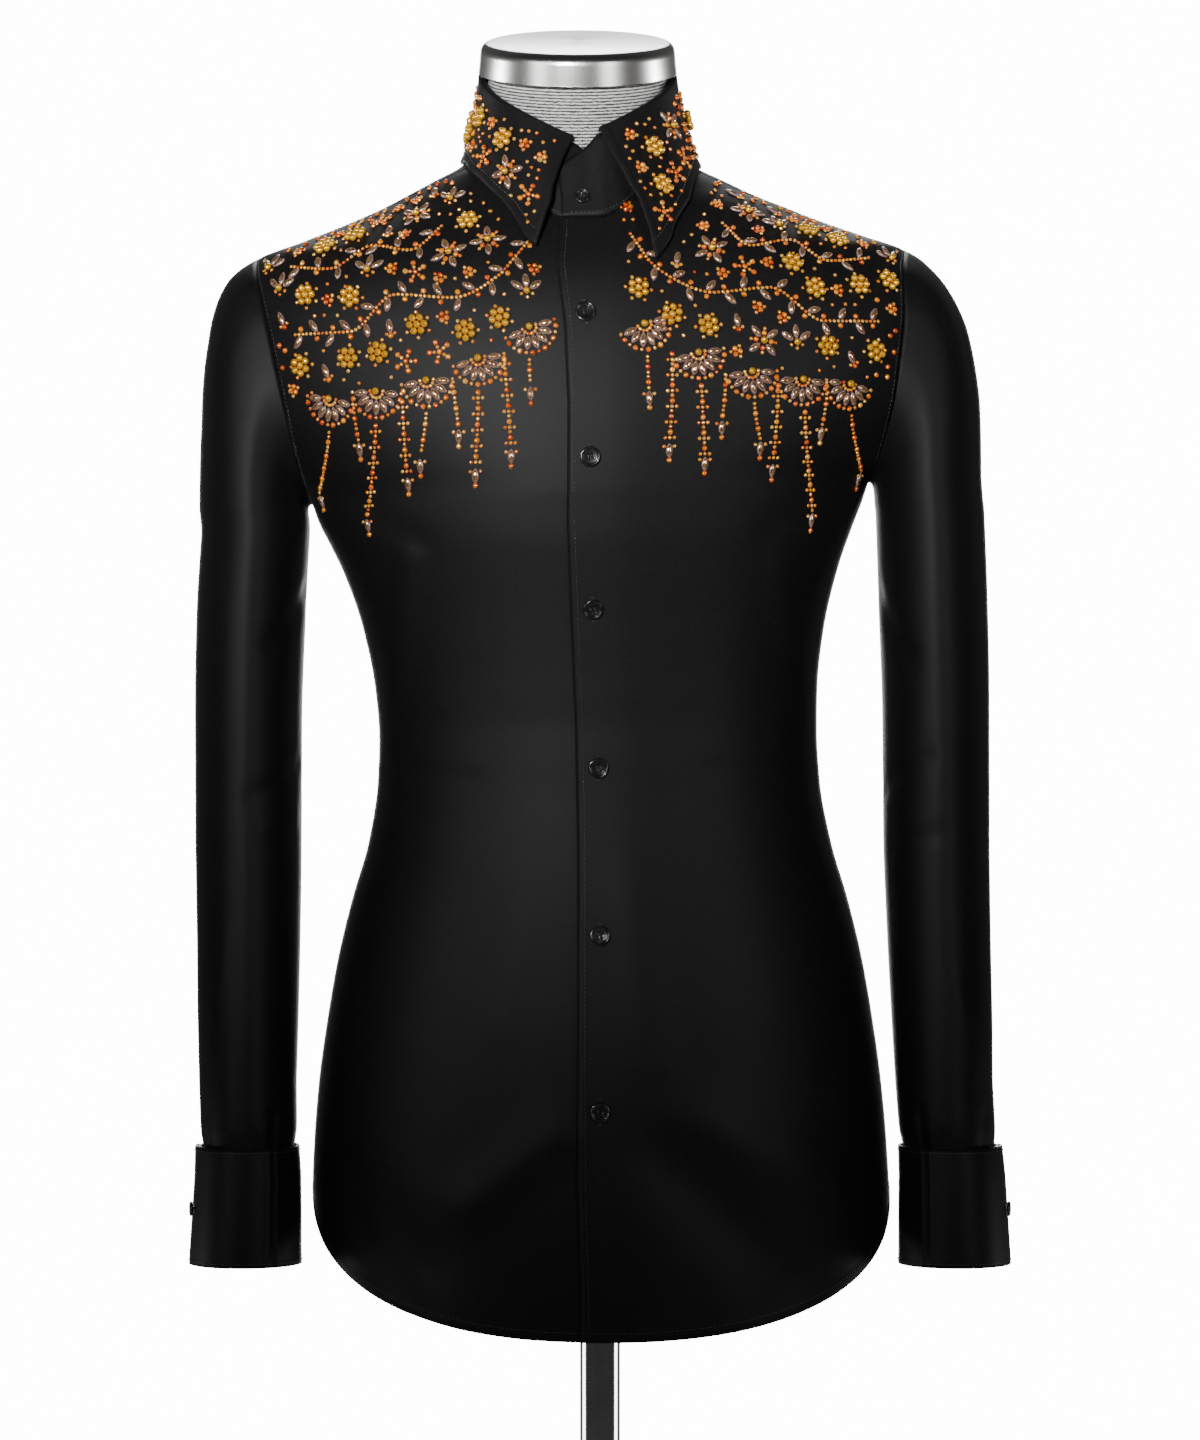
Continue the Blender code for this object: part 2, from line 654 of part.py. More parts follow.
def make_cuff(name, side, look):
    # A strip that goes once round the wrist and on over its own start, which it clears.
    angle = np.radians(CUFF_START + CUFF_STEP * np.arange(CUFF_STEPS + 1))
    raised = (CUFF_WALL + LAYER_GAP) * ease((np.degrees(angle) - 345.0) / 60.0)
    grid = []
    for z, centre, half, depth, middle in CUFF:
        x = centre + (half + raised) * np.sin(angle)
        y = middle - (depth + raised) * np.cos(angle)
        grid.append(np.stack([x, y, np.full(len(angle), z)], axis=-1))
    grid = mirrored(np.array(grid), side)
    normals = grid_normals(grid, False)
    outward = normals[1, 5] @ (grid[1, 5] - grid[1].mean(axis=0))
    normals = normals if outward > 0 else -normals
    return cloth(name, grid, normals, CUFF_WALL, look, sleeve=True)


def fold_height(psi):
    # The collar's fold rises evenly from the front to the sides, then gently to the back.
    turn = np.degrees(np.abs(psi))
    to_side = FOLD_FRONT + (FOLD_SIDE - FOLD_FRONT) * turn / 90.0
    to_back = FOLD_SIDE + (FOLD_BACK - FOLD_SIDE) * ease((turn - 90.0) / 90.0)
    return np.where(turn < 90.0, to_side, to_back)


def round_neck(psi, z, out=0.0):
    axis = NECK_AXIS_Y - (z - NECK_AXIS_Z) * NECK_LEAN
    return np.stack([(FOLD_HALF + out) * np.sin(psi), axis - (FOLD_DEPTH + out) * np.cos(psi), z], axis=-1)


def make_collar_stand(look):
    # The band starts under the wearer's left end, goes round the back and ends on top of its start.
    count = 34
    steps = NECK_STEP * (1 - np.arange(count + 1))
    psi = np.radians((steps + 180.0) % 360.0 - 180.0)
    raised = (STAND_WALL + LAYER_GAP) * ease((-steps - 300.0) / 40.0)
    low = []
    for angle in psi:
        theta, z = neckline_point(float(angle))
        low.append(body(theta, z))
    low = np.array(low) + np.array([0.0, 0.0, FIT])
    height = fold_height(psi)
    high = round_neck(psi, height - WALL)
    for k, share in STAND_ENDS:
        high[k] = low[k] + (round_neck(psi[k], np.array(FOLD_FRONT)) - low[k]) * share
    low[:, 2] += raised * STAND_RISE
    grid = np.array([low, low * 0.5 + high * 0.5, high])
    normals = grid_normals(grid, False)
    outward = normals[1, 5] @ (grid[1, 5] - grid[1].mean(axis=0))
    normals = normals if outward > 0 else -normals
    out = normals[1] * np.array([1.0, 1.0, 0.0])
    grid = grid + (out / np.linalg.norm(out, axis=-1, keepdims=True)) * raised[None, :, None]
    return cloth("collar_stand", grid, normals, STAND_WALL, look)


def leaf_half(stations, side, count):
    along = np.linspace(0.0, 1.0, count + 1)
    psi = np.radians(through(stations, 1, along)) * side
    theta = np.radians(through(stations, 2, along)) * side
    edge_z = through(stations, 3, along)
    fold = round_neck(psi, fold_height(psi), WALL + LAYER_GAP + STAND_WALL)
    clear = WALL + LEAF_CLEAR + LEAF_CLEAR_FRONT * np.cos(psi) ** 2
    edge = body(theta, edge_z) + body_normal(theta, edge_z) * clear[:, None]
    bulge = LEAF_BOW * np.cos(psi) ** 2 - LEAF_HOLLOW * np.sin(psi) ** 2
    rows = []
    for v in LEAF_ROWS:
        bow = (4 * v * (1 - v) * bulge)[:, None]
        line = fold * (1 - v) + edge * v
        out = np.stack([np.sin(psi), -np.cos(psi), 0.4 + 0 * psi], axis=-1)
        side_bow = np.stack([side * (1 - along) ** 6, 0 * along, 0 * along], axis=-1)
        rows.append(line + (out + side_bow) * bow)
    return np.array(rows)


def make_collar_leaf(look):
    # From the wearer's right point round the back to the left point, hanging from the fold.
    right = leaf_half(LEAF_RIGHT, -1, 16)
    left = leaf_half(LEAF_LEFT, 1, 16)
    grid = np.concatenate([right, left[:, ::-1][:, 1:]], axis=1)[::-1]
    normals = grid_normals(grid, False)
    outward = normals[1, 8] @ (grid[1, 8] - grid[1].mean(axis=0))
    normals = normals if outward > 0 else -normals
    return cloth("collar_leaf", grid, normals, WALL, look)


def turned(name, profile, segments, look, place, sharp=35.0):
    # A profile of (radius, height) turned about its axis; its first and last points lie on the axis.
    vertices = [place(0.0, 0.0, profile[0][1])]
    for radius, height in profile[1:-1]:
        for k in range(segments):
            angle = 2 * math.pi * k / segments
            vertices.append(place(radius * math.cos(angle), radius * math.sin(angle), height))
    vertices.append(place(0.0, 0.0, profile[-1][1]))
    rings = len(profile) - 2
    faces = []
    for k in range(segments):
        j = (k + 1) % segments
        faces.append((0, 1 + j, 1 + k))
        for r in range(rings - 1):
            base = 1 + r * segments
            faces.append((base + k, base + j, base + segments + j, base + segments + k))
        base = 1 + (rings - 1) * segments
        faces.append((base + k, base + j, len(vertices) - 1))
    return new_object(name, vertices, faces, look, sharp)


def frame_from(point, out):
    # A placing function whose axis is the outward direction at a point.
    out = np.array(out) / np.linalg.norm(out)
    side = np.cross(np.array([0.0, 0.0, 1.0]), out)
    side = side / np.linalg.norm(side)
    up = np.cross(out, side)

    def place(a, b, c):
        return tuple(np.array(point) + side * a + up * b + out * c)
    return place


def button_profile(radius):
    # A flat back, a round raised rim and a dished middle.
    thick = BUTTON_THICK * radius / BUTTON_RADIUS
    return [(0.0, 0.0), (radius * 0.86, 0.0), (radius, thick * 0.45), (radius * 0.88, thick),
            (radius * 0.68, thick * 0.70), (0.0, thick * 0.62)]


def make_buttons(look):
    flat = theta_of_x(0.0, 0.3)
    for number, z in enumerate(BUTTON_HEIGHTS, 1):
        point = warp(body(flat, z)[None])[0]
        out = body_normal(flat, z)
        lift = WALL + LAYER_GAP + FIT
        place = frame_from(point + out * lift, out)
        turned(f"button_front_{number}", button_profile(BUTTON_RADIUS), 12, look, place)
    theta, low_z = neckline_point(0.0)
    low = body(theta, low_z)
    high = round_neck(np.array(0.0), np.array(FOLD_FRONT))
    part = (COLLAR_BUTTON_HEIGHT - low[2]) / (high[2] - low[2])
    out = np.cross(np.array([1.0, 0.0, 0.0]), high - low)
    out = out / np.linalg.norm(out)
    point = warp((low + (high - low) * part)[None])[0] + out * (STAND_WALL + LAYER_GAP + FIT * 2)
    turned("button_collar", button_profile(SMALL_BUTTON_RADIUS), 12, look, frame_from(point, out))
    angle = math.radians(CUFF_BUTTON_ANGLE)
    centre, half, depth, middle = [float(through(CUFF, k, CUFF_BUTTON_HEIGHT)) for k in (1, 2, 3, 4)]
    lift = CUFF_WALL + LAYER_GAP
    x = centre + (half + lift) * math.sin(angle)
    y = middle - (depth + lift) * math.cos(angle)
    out = np.array([math.sin(angle) / half, -math.cos(angle) / depth, 0.0])
    out = out / np.linalg.norm(out)
    for name, side in (("button_cuff_left", 1), ("button_cuff_right", -1)):
        point = warp(np.array([[side * x, y, CUFF_BUTTON_HEIGHT]]), True)[0]
        way = out * np.array([side, 1.0, 1.0])
        place = frame_from(point + way * FIT * 1.5, way)
        turned(name, button_profile(SMALL_BUTTON_RADIUS), 12, look, place)


# The form's neck rings: height and depth of the centre, half width, half depth, forward tilt in degrees
NECK_RINGS = np.array([
    # height  y       half    depth   tilt
    (0.7565, -0.0060, 0.0700, 0.0635, 6.0),
    (0.7670, -0.0072, 0.0630, 0.0612, 10.0),
    (0.7810, -0.0100, 0.0590, 0.0590, 13.0),
    (0.7990, -0.0138, 0.0575, 0.0575, 14.0),
    (0.8165, -0.0182, 0.0575, 0.0575, 14.0),
])
FORM_COLUMNS = 24
FORM_HEIGHTS = (0.128, 0.180, 0.230, 0.280, 0.330, 0.392, 0.450, 0.500, 0.550,
                0.600, 0.640, 0.670, 0.687, 0.697, 0.705, 0.715, 0.727, 0.739)
FORM_EDGE = ((0.105, 0.90), (0.109, 0.955), (0.117, 0.99))
FORM_DROP = 0.0018
FORM_EASE = np.array([
    # height  ease
    (0.100, 0.0060),
    (0.500, 0.0050),
    (0.600, 0.0028),
    (0.680, 0.0020),
    (0.760, 0.0018),
])


def form_ring(theta, z):
    # The shirt's section without its sleeves, dropped and drawn in by the ease of the cloth.
    at = z + FORM_DROP
    ease_here = float(through(FORM_EASE, 1, z))
    half = min(float(through(BODY, 1, at)), float(through(ARMHOLE, 1, at))) - ease_here - 0.0012
    front = float(through(BODY, 2, at)) + ease_here + 0.0012
    back = float(through(BODY, 3, at)) - ease_here - 0.0012
    middle = float(through(BODY, 4, at))
    power = 2.0 / float(through(BODY, 5, at))
    x = half * np.sign(np.sin(theta)) * np.abs(np.sin(theta)) ** power
    depth = np.where(np.cos(theta) > 0, middle - front, back - middle)
    y = middle - depth * np.sign(np.cos(theta)) * np.abs(np.cos(theta)) ** power
    return np.stack([x, y, np.full(len(theta), z)], axis=-1)


def make_form(look):
    theta = 2 * math.pi * np.arange(FORM_COLUMNS) / FORM_COLUMNS
    rings = []
    for z, scale in FORM_EDGE:
        ring = form_ring(theta, z)
        rings.append(ring * np.array([scale, scale, 1.0]))
    for z in FORM_HEIGHTS:
        rings.append(form_ring(theta, z))
    for z, y, half, depth, tilt in NECK_RINGS:
        lean = math.radians(tilt)
        run = -depth * np.cos(theta)
        rings.append(np.stack([half * np.sin(theta), y + run * math.cos(lean), z + run * math.sin(lean)], -1))
    grid = np.array(rings)
    vertices = warp(grid.reshape(-1, 3))
    faces = []
    for r in range(len(rings) - 1):
        for c in range(FORM_COLUMNS):
            d = (c + 1) % FORM_COLUMNS
            base = r * FORM_COLUMNS
            faces.append((base + c, base + d, base + FORM_COLUMNS + d))
            faces.append((base + c, base + FORM_COLUMNS + d, base + FORM_COLUMNS + c))
    faces.append(tuple(range(FORM_COLUMNS))[::-1])
    last = (len(rings) - 1) * FORM_COLUMNS
    faces.append(tuple(last + k for k in range(FORM_COLUMNS)))
    return new_object("form_torso", vertices, faces, look)


def make_cap(look):
    # A low metal disc with a rounded upper edge and a band that flares a little downwards.
    profile = [(0.0, 0.0), (CAP_RADIUS - 0.0006, 0.0), (CAP_RADIUS, 0.0008), (CAP_RADIUS - 0.0014, 0.0150),
               (CAP_RADIUS - 0.0024, 0.0180), (CAP_RADIUS - 0.0046, 0.0198),
               (CAP_RADIUS - 0.0070, CAP_HEIGHT), (0.0, CAP_HEIGHT)]
    centre = warp(np.array([CAP_CENTRE]))[0]
    out = np.array([0.0, -math.sin(CAP_TILT), math.cos(CAP_TILT)])
    across = np.array([1.0, 0.0, 0.0])
    back = np.cross(out, across)

    def place(a, b, c):
        return tuple(centre + across * a + back * b + out * c)
    return turned("form_cap", profile, 32, look, place, 50.0)


def upright(a, b, c):
    return (a, b, c)


def make_stand(steel):
    edge = BASE_EDGE
    base = [(0.0, 0.0), (BASE_RADIUS - edge * 0.4, 0.0), (BASE_RADIUS, edge * 0.4),
            (BASE_RADIUS, BASE_THICK - edge), (BASE_RADIUS - edge * 0.3, BASE_THICK - edge * 0.3),
            (BASE_RADIUS - edge, BASE_THICK), (0.0, BASE_THICK)]
    turned("stand_base", base, 40, steel, upright)
    form_low = HEM_HEIGHT + FORM_BOTTOM
    post_top = form_low - FIT * 2 - FLANGE_THICK
    post = [(0.0, BASE_THICK + FIT), (POST_RADIUS, BASE_THICK + FIT), (POST_RADIUS, post_top), (0.0, post_top)]
    turned("stand_post", post, 24, steel, upright)
    flange_low = form_low - FIT - FLANGE_THICK
    flange = [(0.0, flange_low), (FLANGE_RADIUS, flange_low), (FLANGE_RADIUS, form_low - FIT),
              (0.0, form_low - FIT)]
    turned("form_flange", flange, 24, steel, upright)


def main():
    for old in list(bpy.data.objects):
        bpy.data.objects.remove(old, do_unlink=True)
    sateen = material("black_sateen", (0.012, 0.011, 0.012), 0.55, 0.0)
    resin = material("black_resin", (0.010, 0.010, 0.012), 0.18, 0.0)
    jersey = material("grey_jersey", (0.42, 0.41, 0.40), 0.9, 0.0)
    brushed = material("brushed_steel", (0.60, 0.59, 0.58), 0.32, 1.0)
    chrome = material("chrome", (0.70, 0.70, 0.71), 0.08, 1.0)
    make_front("front_right", -1, False, sateen)
    make_front("front_left", 1, True, sateen)
    make_back(sateen)
    make_yoke(sateen)
    for name, side in (("left", 1), ("right", -1)):
        make_sleeve(f"sleeve_{name}", side, sateen)
        make_placket(f"sleeve_placket_{name}", side, sateen)
        make_cuff(f"cuff_{name}", side, sateen)
    make_collar_stand(sateen)
    make_collar_leaf(sateen)
    make_buttons(resin)
    make_form(jersey)
    make_cap(brushed)
    make_stand(chrome)


main()
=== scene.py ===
import math
import bpy
import numpy as np
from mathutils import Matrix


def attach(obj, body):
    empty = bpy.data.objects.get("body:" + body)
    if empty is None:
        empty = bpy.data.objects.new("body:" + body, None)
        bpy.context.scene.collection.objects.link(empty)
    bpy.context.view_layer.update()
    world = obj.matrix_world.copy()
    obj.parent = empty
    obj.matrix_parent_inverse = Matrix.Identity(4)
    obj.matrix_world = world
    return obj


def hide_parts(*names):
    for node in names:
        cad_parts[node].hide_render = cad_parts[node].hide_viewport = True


# A black dress shirt with beaded shoulders and collar, buttoned up on a limbless dress form.
# Metres, +Z up; the wearer's left side is at +X. Garment heights count from just below the front hem.
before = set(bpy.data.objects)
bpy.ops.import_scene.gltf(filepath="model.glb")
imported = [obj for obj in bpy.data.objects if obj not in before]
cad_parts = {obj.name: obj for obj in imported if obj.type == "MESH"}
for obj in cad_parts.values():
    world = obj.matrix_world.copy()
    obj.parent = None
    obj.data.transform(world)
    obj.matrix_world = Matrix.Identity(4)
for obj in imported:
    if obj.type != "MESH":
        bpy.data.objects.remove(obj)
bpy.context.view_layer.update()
print("frame loaded")

garment = {
    "hemHeight": 0.255,      # world height of garment height 0
    "wall": 0.0012,
    "inset": 0.0002,         # how far a panel stays back from its seam
    "layerGap": 0.0005,
    "overlapHalf": 0.0143,   # the fronts pass the centre line by this
    "rampEnd": 0.050,        # the top layer comes down to the body over this width
    "hemZoneTop": 0.130,
    "frontHem": 0.0112,
    "backHem": 0.0040,
    "sideHem": 0.099,
    "hemPower": 2.35,
    "underarm": 0.548,
    "shoulderPoint": 0.702,
    "yokeSeam": 0.660,
    "foldFade": 0.35,
    "rollBand": 0.0060,      # breadth of the narrow hem
    "rollRise": 0.00035,
}

# Body sections: height, half width, front, back, middle, squareness
bodyTable = np.array([
    (-0.020, 0.1830, -0.1120, 0.1190, 0.0000, 2.30),
    (0.050, 0.1850, -0.1130, 0.1205, 0.0000, 2.30),
    (0.100, 0.1858, -0.1135, 0.1215, 0.0000, 2.30),
    (0.131, 0.1845, -0.1135, 0.1215, 0.0000, 2.28),
    (0.170, 0.1812, -0.1130, 0.1205, 0.0000, 2.25),
    (0.208, 0.1760, -0.1115, 0.1175, 0.0000, 2.25),
    (0.247, 0.1693, -0.1085, 0.1110, 0.0000, 2.22),
    (0.286, 0.1600, -0.1050, 0.1030, 0.0000, 2.20),
    (0.324, 0.1490, -0.1015, 0.0950, 0.0000, 2.20),
    (0.363, 0.1425, -0.0995, 0.0890, 0.0000, 2.20),
    (0.392, 0.1412, -0.0995, 0.0880, 0.0000, 2.20),
    (0.421, 0.1425, -0.1015, 0.0900, 0.0000, 2.20),
    (0.460, 0.1484, -0.1060, 0.0965, 0.0000, 2.20),
    (0.499, 0.1596, -0.1120, 0.1055, 0.0000, 2.20),
    (0.518, 0.1674, -0.1150, 0.1100, 0.0000, 2.20),
    (0.537, 0.1757, -0.1170, 0.1135, 0.0010, 2.20),
    (0.548, 0.1795, -0.1180, 0.1150, 0.0015, 2.20),
    (0.570, 0.1990, -0.1185, 0.1180, 0.0020, 2.20),
    (0.600, 0.2220, -0.1180, 0.1200, 0.0030, 2.20),
    (0.630, 0.2320, -0.1155, 0.1205, 0.0035, 2.20),
    (0.660, 0.2340, -0.1105, 0.1190, 0.0040, 2.20),
    (0.680, 0.2290, -0.1050, 0.1150, 0.0050, 2.20),
    (0.695, 0.2160, -0.0985, 0.1095, 0.0055, 2.20),
    (0.702, 0.2080, -0.0945, 0.1055, 0.0060, 2.18),
    (0.7115, 0.1820, -0.0885, 0.0995, 0.0060, 2.15),
    (0.721, 0.1560, -0.0825, 0.0935, 0.0060, 2.12),
    (0.731, 0.1320, -0.0770, 0.0875, 0.0055, 2.10),
    (0.7405, 0.1110, -0.0720, 0.0810, 0.0045, 2.08),
    (0.750, 0.0920, -0.0675, 0.0740, 0.0030, 2.05),
    (0.757, 0.0775, -0.0650, 0.0680, 0.0010, 2.02),
    (0.763, 0.0700, -0.0640, 0.0635, -0.0010, 2.00),
    (0.772, 0.0670, -0.0635, 0.0590, -0.0030, 2.00),
])
# The armhole: height, distance from the middle
armholeTable = np.array([
    (0.548, 0.1795), (0.558, 0.1823), (0.570, 0.1860), (0.595, 0.1920),
    (0.626, 0.1975), (0.660, 0.2028), (0.680, 0.2050), (0.702, 0.2080),
])
# Lean of the body, lean of the sleeves and tip of the shoulders, by height
leanTable = np.array([
    (-0.30, 0.0000, 0.0000, 0.000),
    (-0.01, 0.0028, 0.0000, 0.000),
    (0.050, 0.0022, 0.0000, 0.000),
    (0.110, 0.0004, 0.0000, 0.000),
    (0.170, 0.0000, -0.0026, 0.000),
    (0.320, 0.0000, -0.0048, 0.000),
    (0.400, -0.0014, -0.0050, 0.000),
    (0.480, -0.0048, -0.0050, 0.010),
    (0.530, -0.0066, -0.0046, 0.030),
    (0.548, -0.0062, -0.0062, 0.040),
    (0.600, -0.0060, -0.0060, 0.030),
    (0.650, -0.0083, -0.0083, 0.023),
    (0.690, -0.0130, -0.0130, 0.016),
    (0.7115, -0.0115, -0.0115, 0.012),
    (0.731, -0.0110, -0.0110, 0.006),
    (0.7405, -0.0130, -0.0130, 0.003),
    (0.760, -0.0145, -0.0145, 0.000),
    (0.900, -0.0140, -0.0140, 0.000),
])
# Soft folds: side (-1 front, 1 back), two ends in the front view, half breadth, height (below 0 a trough)
foldTable = np.array([
    (-1, -0.085, 0.098, -0.028, 0.142, 0.016, 0.0040),
    (-1, -0.165, 0.120, -0.115, 0.060, 0.018, -0.0030),
    (-1, -0.115, 0.505, -0.139, 0.385, 0.010, 0.0022),
    (-1, 0.040, 0.128, 0.115, 0.050, 0.022, -0.0035),
    (-1, 0.060, 0.150, 0.130, 0.118, 0.020, 0.0030),
    (-1, 0.120, 0.495, 0.140, 0.400, 0.010, 0.0018),
    (-1, -0.1645, 0.092, -0.116, 0.028, 0.010, -0.0016),
    (-1, -0.158, 0.2095, -0.124, 0.2085, 0.0034, 0.0007),
    (-1, 0.150, 0.138, 0.166, 0.100, 0.012, -0.0018),
    (-1, -0.134, 0.372, -0.078, 0.364, 0.0048, -0.0008),
    (-1, -0.136, 0.398, -0.100, 0.402, 0.0042, -0.0006),
    (-1, 0.134, 0.366, 0.070, 0.372, 0.0050, -0.0008),
    (-1, 0.138, 0.345, 0.104, 0.338, 0.0040, 0.0006),
    (-1, -0.168, 0.560, -0.108, 0.516, 0.009, -0.0012),
    (-1, 0.170, 0.556, 0.112, 0.518, 0.009, -0.0011),
    (-1, 0.020, 0.300, 0.034, 0.190, 0.014, 0.0011),
    (-1, -0.052, 0.285, -0.064, 0.205, 0.012, 0.0009),
    (1, -0.095, 0.110, -0.040, 0.160, 0.020, 0.0035),
    (1, -0.046, 0.610, -0.040, 0.470, 0.013, 0.0015),
    (1, 0.058, 0.600, 0.049, 0.450, 0.015, -0.0014),
    (1, -0.150, 0.560, -0.080, 0.515, 0.010, -0.0013),
    (1, 0.152, 0.556, 0.086, 0.508, 0.010, -0.0012),
    (1, -0.126, 0.352, -0.060, 0.340, 0.006, -0.0010),
    (1, 0.128, 0.372, 0.050, 0.362, 0.006, -0.0010),
    (1, -0.010, 0.300, 0.004, 0.170, 0.018, 0.0014),
    (1, 0.050, 0.150, 0.120, 0.080, 0.020, 0.0035),
    (1, -0.060, 0.420, 0.070, 0.395, 0.018, 0.0025),
])


def through(table, columns, at):
    # smooth curves through one or more columns of a table, which never overshoot their stations
    xs, ys = table[:, 0], table[:, np.atleast_1d(columns)].T
    step = np.diff(xs)
    slope = np.diff(ys, axis=1) / step
    tangent = np.zeros(ys.shape)
    same = slope[:, :-1] * slope[:, 1:] > 0
    weightA, weightB = 2 * step[1:] + step[:-1], step[1:] + 2 * step[:-1]
    low, high = np.where(same, slope[:, :-1], 1.0), np.where(same, slope[:, 1:], 1.0)
    tangent[:, 1:-1] = np.where(same, (weightA + weightB) / (weightA / low + weightB / high), 0.0)
    tangent[:, 0], tangent[:, -1] = slope[:, 0], slope[:, -1]
    at = np.minimum(np.maximum(np.asarray(at, dtype=float), xs[0]), xs[-1])
    k = np.clip(np.searchsorted(xs, at) - 1, 0, len(xs) - 2)
    t = (at - xs[k]) / step[k]
    rise = ys[:, k] * (1 + 2 * t) * (1 - t) ** 2 + ys[:, k + 1] * t ** 2 * (3 - 2 * t)
    found = rise + step[k] * (tangent[:, k] * t * (1 - t) ** 2 - tangent[:, k + 1] * t ** 2 * (1 - t))
    return found[0] if np.isscalar(columns) else found


def softStep(t):
    # eases from 0 to 1: t squared times (3 - 2 t)
    t = np.clip(t, 0.0, 1.0)
    return t * t * (3 - 2 * t)


def unit(vectors):
    # each vector over its own length
    return vectors / np.maximum(np.linalg.norm(vectors, axis=-1, keepdims=True), 1e-12)


def runAlong(line):
    # the length from a line's first point to each of its points
    return np.concatenate([[0.0], np.cumsum(np.linalg.norm(np.diff(line, axis=0), axis=1))])


def fullTurn(count):
    # even angles once round
    return 2 * math.pi * np.arange(count) / count


def mirrored(grid, side):
    # a grid of the left arm, or its mirror image with the columns in turned order
    return grid if side > 0 else (grid * np.array([-1.0, 1.0, 1.0]))[:, ::-1]


def squarish(theta, half, front, rear, middle, square):
    # a squarish ellipse: x = half * sin^(2/n), y = middle - depth * cos^(2/n)
    power = 2.0 / square
    sine, cosine = np.sin(theta), np.cos(theta)
    depth = np.where(cosine > 0, middle - front, rear - middle)
    x = half * np.sign(sine) * np.abs(sine) ** power
    return x, middle - depth * np.sign(cosine) * np.abs(cosine) ** power


def foldLift(x, z, back):
    # each fold is a ridge with round flanks along a line: height times exp(-(distance / breadth) squared)
    side, x0, z0, x1, z1, breadth, height = foldTable.T
    offX, offZ = x[..., None] - x0, z[..., None] - z0
    near = (offX * (x1 - x0) + offZ * (z1 - z0)) / ((x1 - x0) ** 2 + (z1 - z0) ** 2)
    near = np.minimum(np.maximum(near, 0.0), 1.0)
    away = (offX - near * (x1 - x0)) ** 2 + (offZ - near * (z1 - z0)) ** 2
    lift = height * np.exp(-away / breadth ** 2)
    return (lift * (back[..., None] == (side > 0))).sum(axis=-1)


def bodyPoint(theta, z):
    # the squarish section at a height, moved out by the folds
    theta, z = np.broadcast_arrays(np.asarray(theta, float), np.asarray(z, float))
    x, y = squarish(theta, *through(bodyTable, (1, 2, 3, 4, 5), z))
    cosine = np.cos(theta)
    back = cosine < 0
    lift = foldLift(x, z, back) * softStep(np.abs(cosine) / garment["foldFade"])
    return np.stack([x, y + np.where(back, lift, -lift), z], axis=-1)


def bodyNormal(theta, z):
    # square to the surface's small steps across and upwards
    across = bodyPoint(theta + 0.002, z) - bodyPoint(theta - 0.002, z)
    upward = bodyPoint(theta, z + 0.0005) - bodyPoint(theta, z - 0.0005)
    return unit(np.cross(across, upward))


def bodyFace(theta, z):
    # the surface's point and its normal together
    return bodyPoint(theta, z), bodyNormal(theta, z)


def thetaOfX(x, z):
    # the angle at which the front half of the section reaches x
    half, power = through(bodyTable, (1, 5), z)
    return np.sign(x) * np.arcsin(np.clip(np.abs(x) / half, 0.0, 1.0) ** (power / 2.0))


neck = {
    "half": 0.0685, "front": -0.0855, "back": 0.0630,   # the neckline's ellipse in plan
    "foldHalf": 0.0608, "foldDepth": 0.0632,            # the collar's fold in plan
    "foldFront": 0.7694, "foldSide": 0.8155, "foldBack": 0.8240,
    "lean": 0.2490, "axisZ": 0.776, "axisY": -0.008,
    "standWall": 0.0014, "standRise": 0.6,
    "leafClear": 0.0012, "leafBow": 0.0024, "leafHollow": 0.0020,
}
neckDegrees = 11.25   # the solids go round the neck in steps of this
neckStep = math.radians(neckDegrees)


def neckline(angle):
    # the plan ellipse laid on the body: halving the height finds where its point meets the section
    angle = (np.asarray(angle, float) + math.pi) % (2 * math.pi) - math.pi
    flat = neckStep
    solved = np.where(angle < 0, -1.0, 1.0) * np.maximum(np.abs(angle), flat)
    x = neck["half"] * np.sin(solved)
    y = np.where(np.cos(solved) > 0, neck["front"], -neck["back"]) * np.cos(solved)
    low, high = np.full(angle.shape, 0.700), np.full(angle.shape, 0.772)
    for _ in range(40):
        z = (low + high) / 2
        half, front, rear, middle, power = through(bodyTable, (1, 2, 3, 4, 5), z)
        edge = np.where(y < middle, front, rear) - middle
        outside = (np.abs(x) / half) ** power + np.abs((y - middle) / edge) ** power > 1
        high, low = np.where(outside, z, high), np.where(outside, low, z)
    theta = thetaOfX(np.where(np.abs(angle) < flat, neck["half"] * np.sin(angle), x), z)
    return np.where(y > through(bodyTable, 4, z), math.pi - theta, theta), z


frontTheta, frontZ = neckline(np.linspace(neckStep, neckStep * 5.88, 60))
seamEndTheta, seamEndZ = [float(v) for v in neckline(np.array(neckStep * 6))]
neckLow = float(frontZ[0])


def seamTheta(z):
    # the forward shoulder seam, from the shoulder point to the neckline a little ahead of the ridge
    tip, end = float(through(bodyTable, 1, garment["shoulderPoint"])), float(through(bodyTable, 1, seamEndZ))
    part = (tip - through(bodyTable, 1, z)) / (tip - end)
    return math.pi / 2 + (seamEndTheta - math.pi / 2) * np.clip(part, 0.0, 1.0)


def outerTheta(z):
    # where a front ends sideways: side seam, then armhole, then shoulder seam
    z = np.asarray(z, float)
    armhole = thetaOfX(through(armholeTable, 1, np.minimum(z, garment["shoulderPoint"])), z)
    upper = np.where(z < garment["shoulderPoint"], armhole, seamTheta(z))
    return np.where(z < garment["underarm"], math.pi / 2, upper)


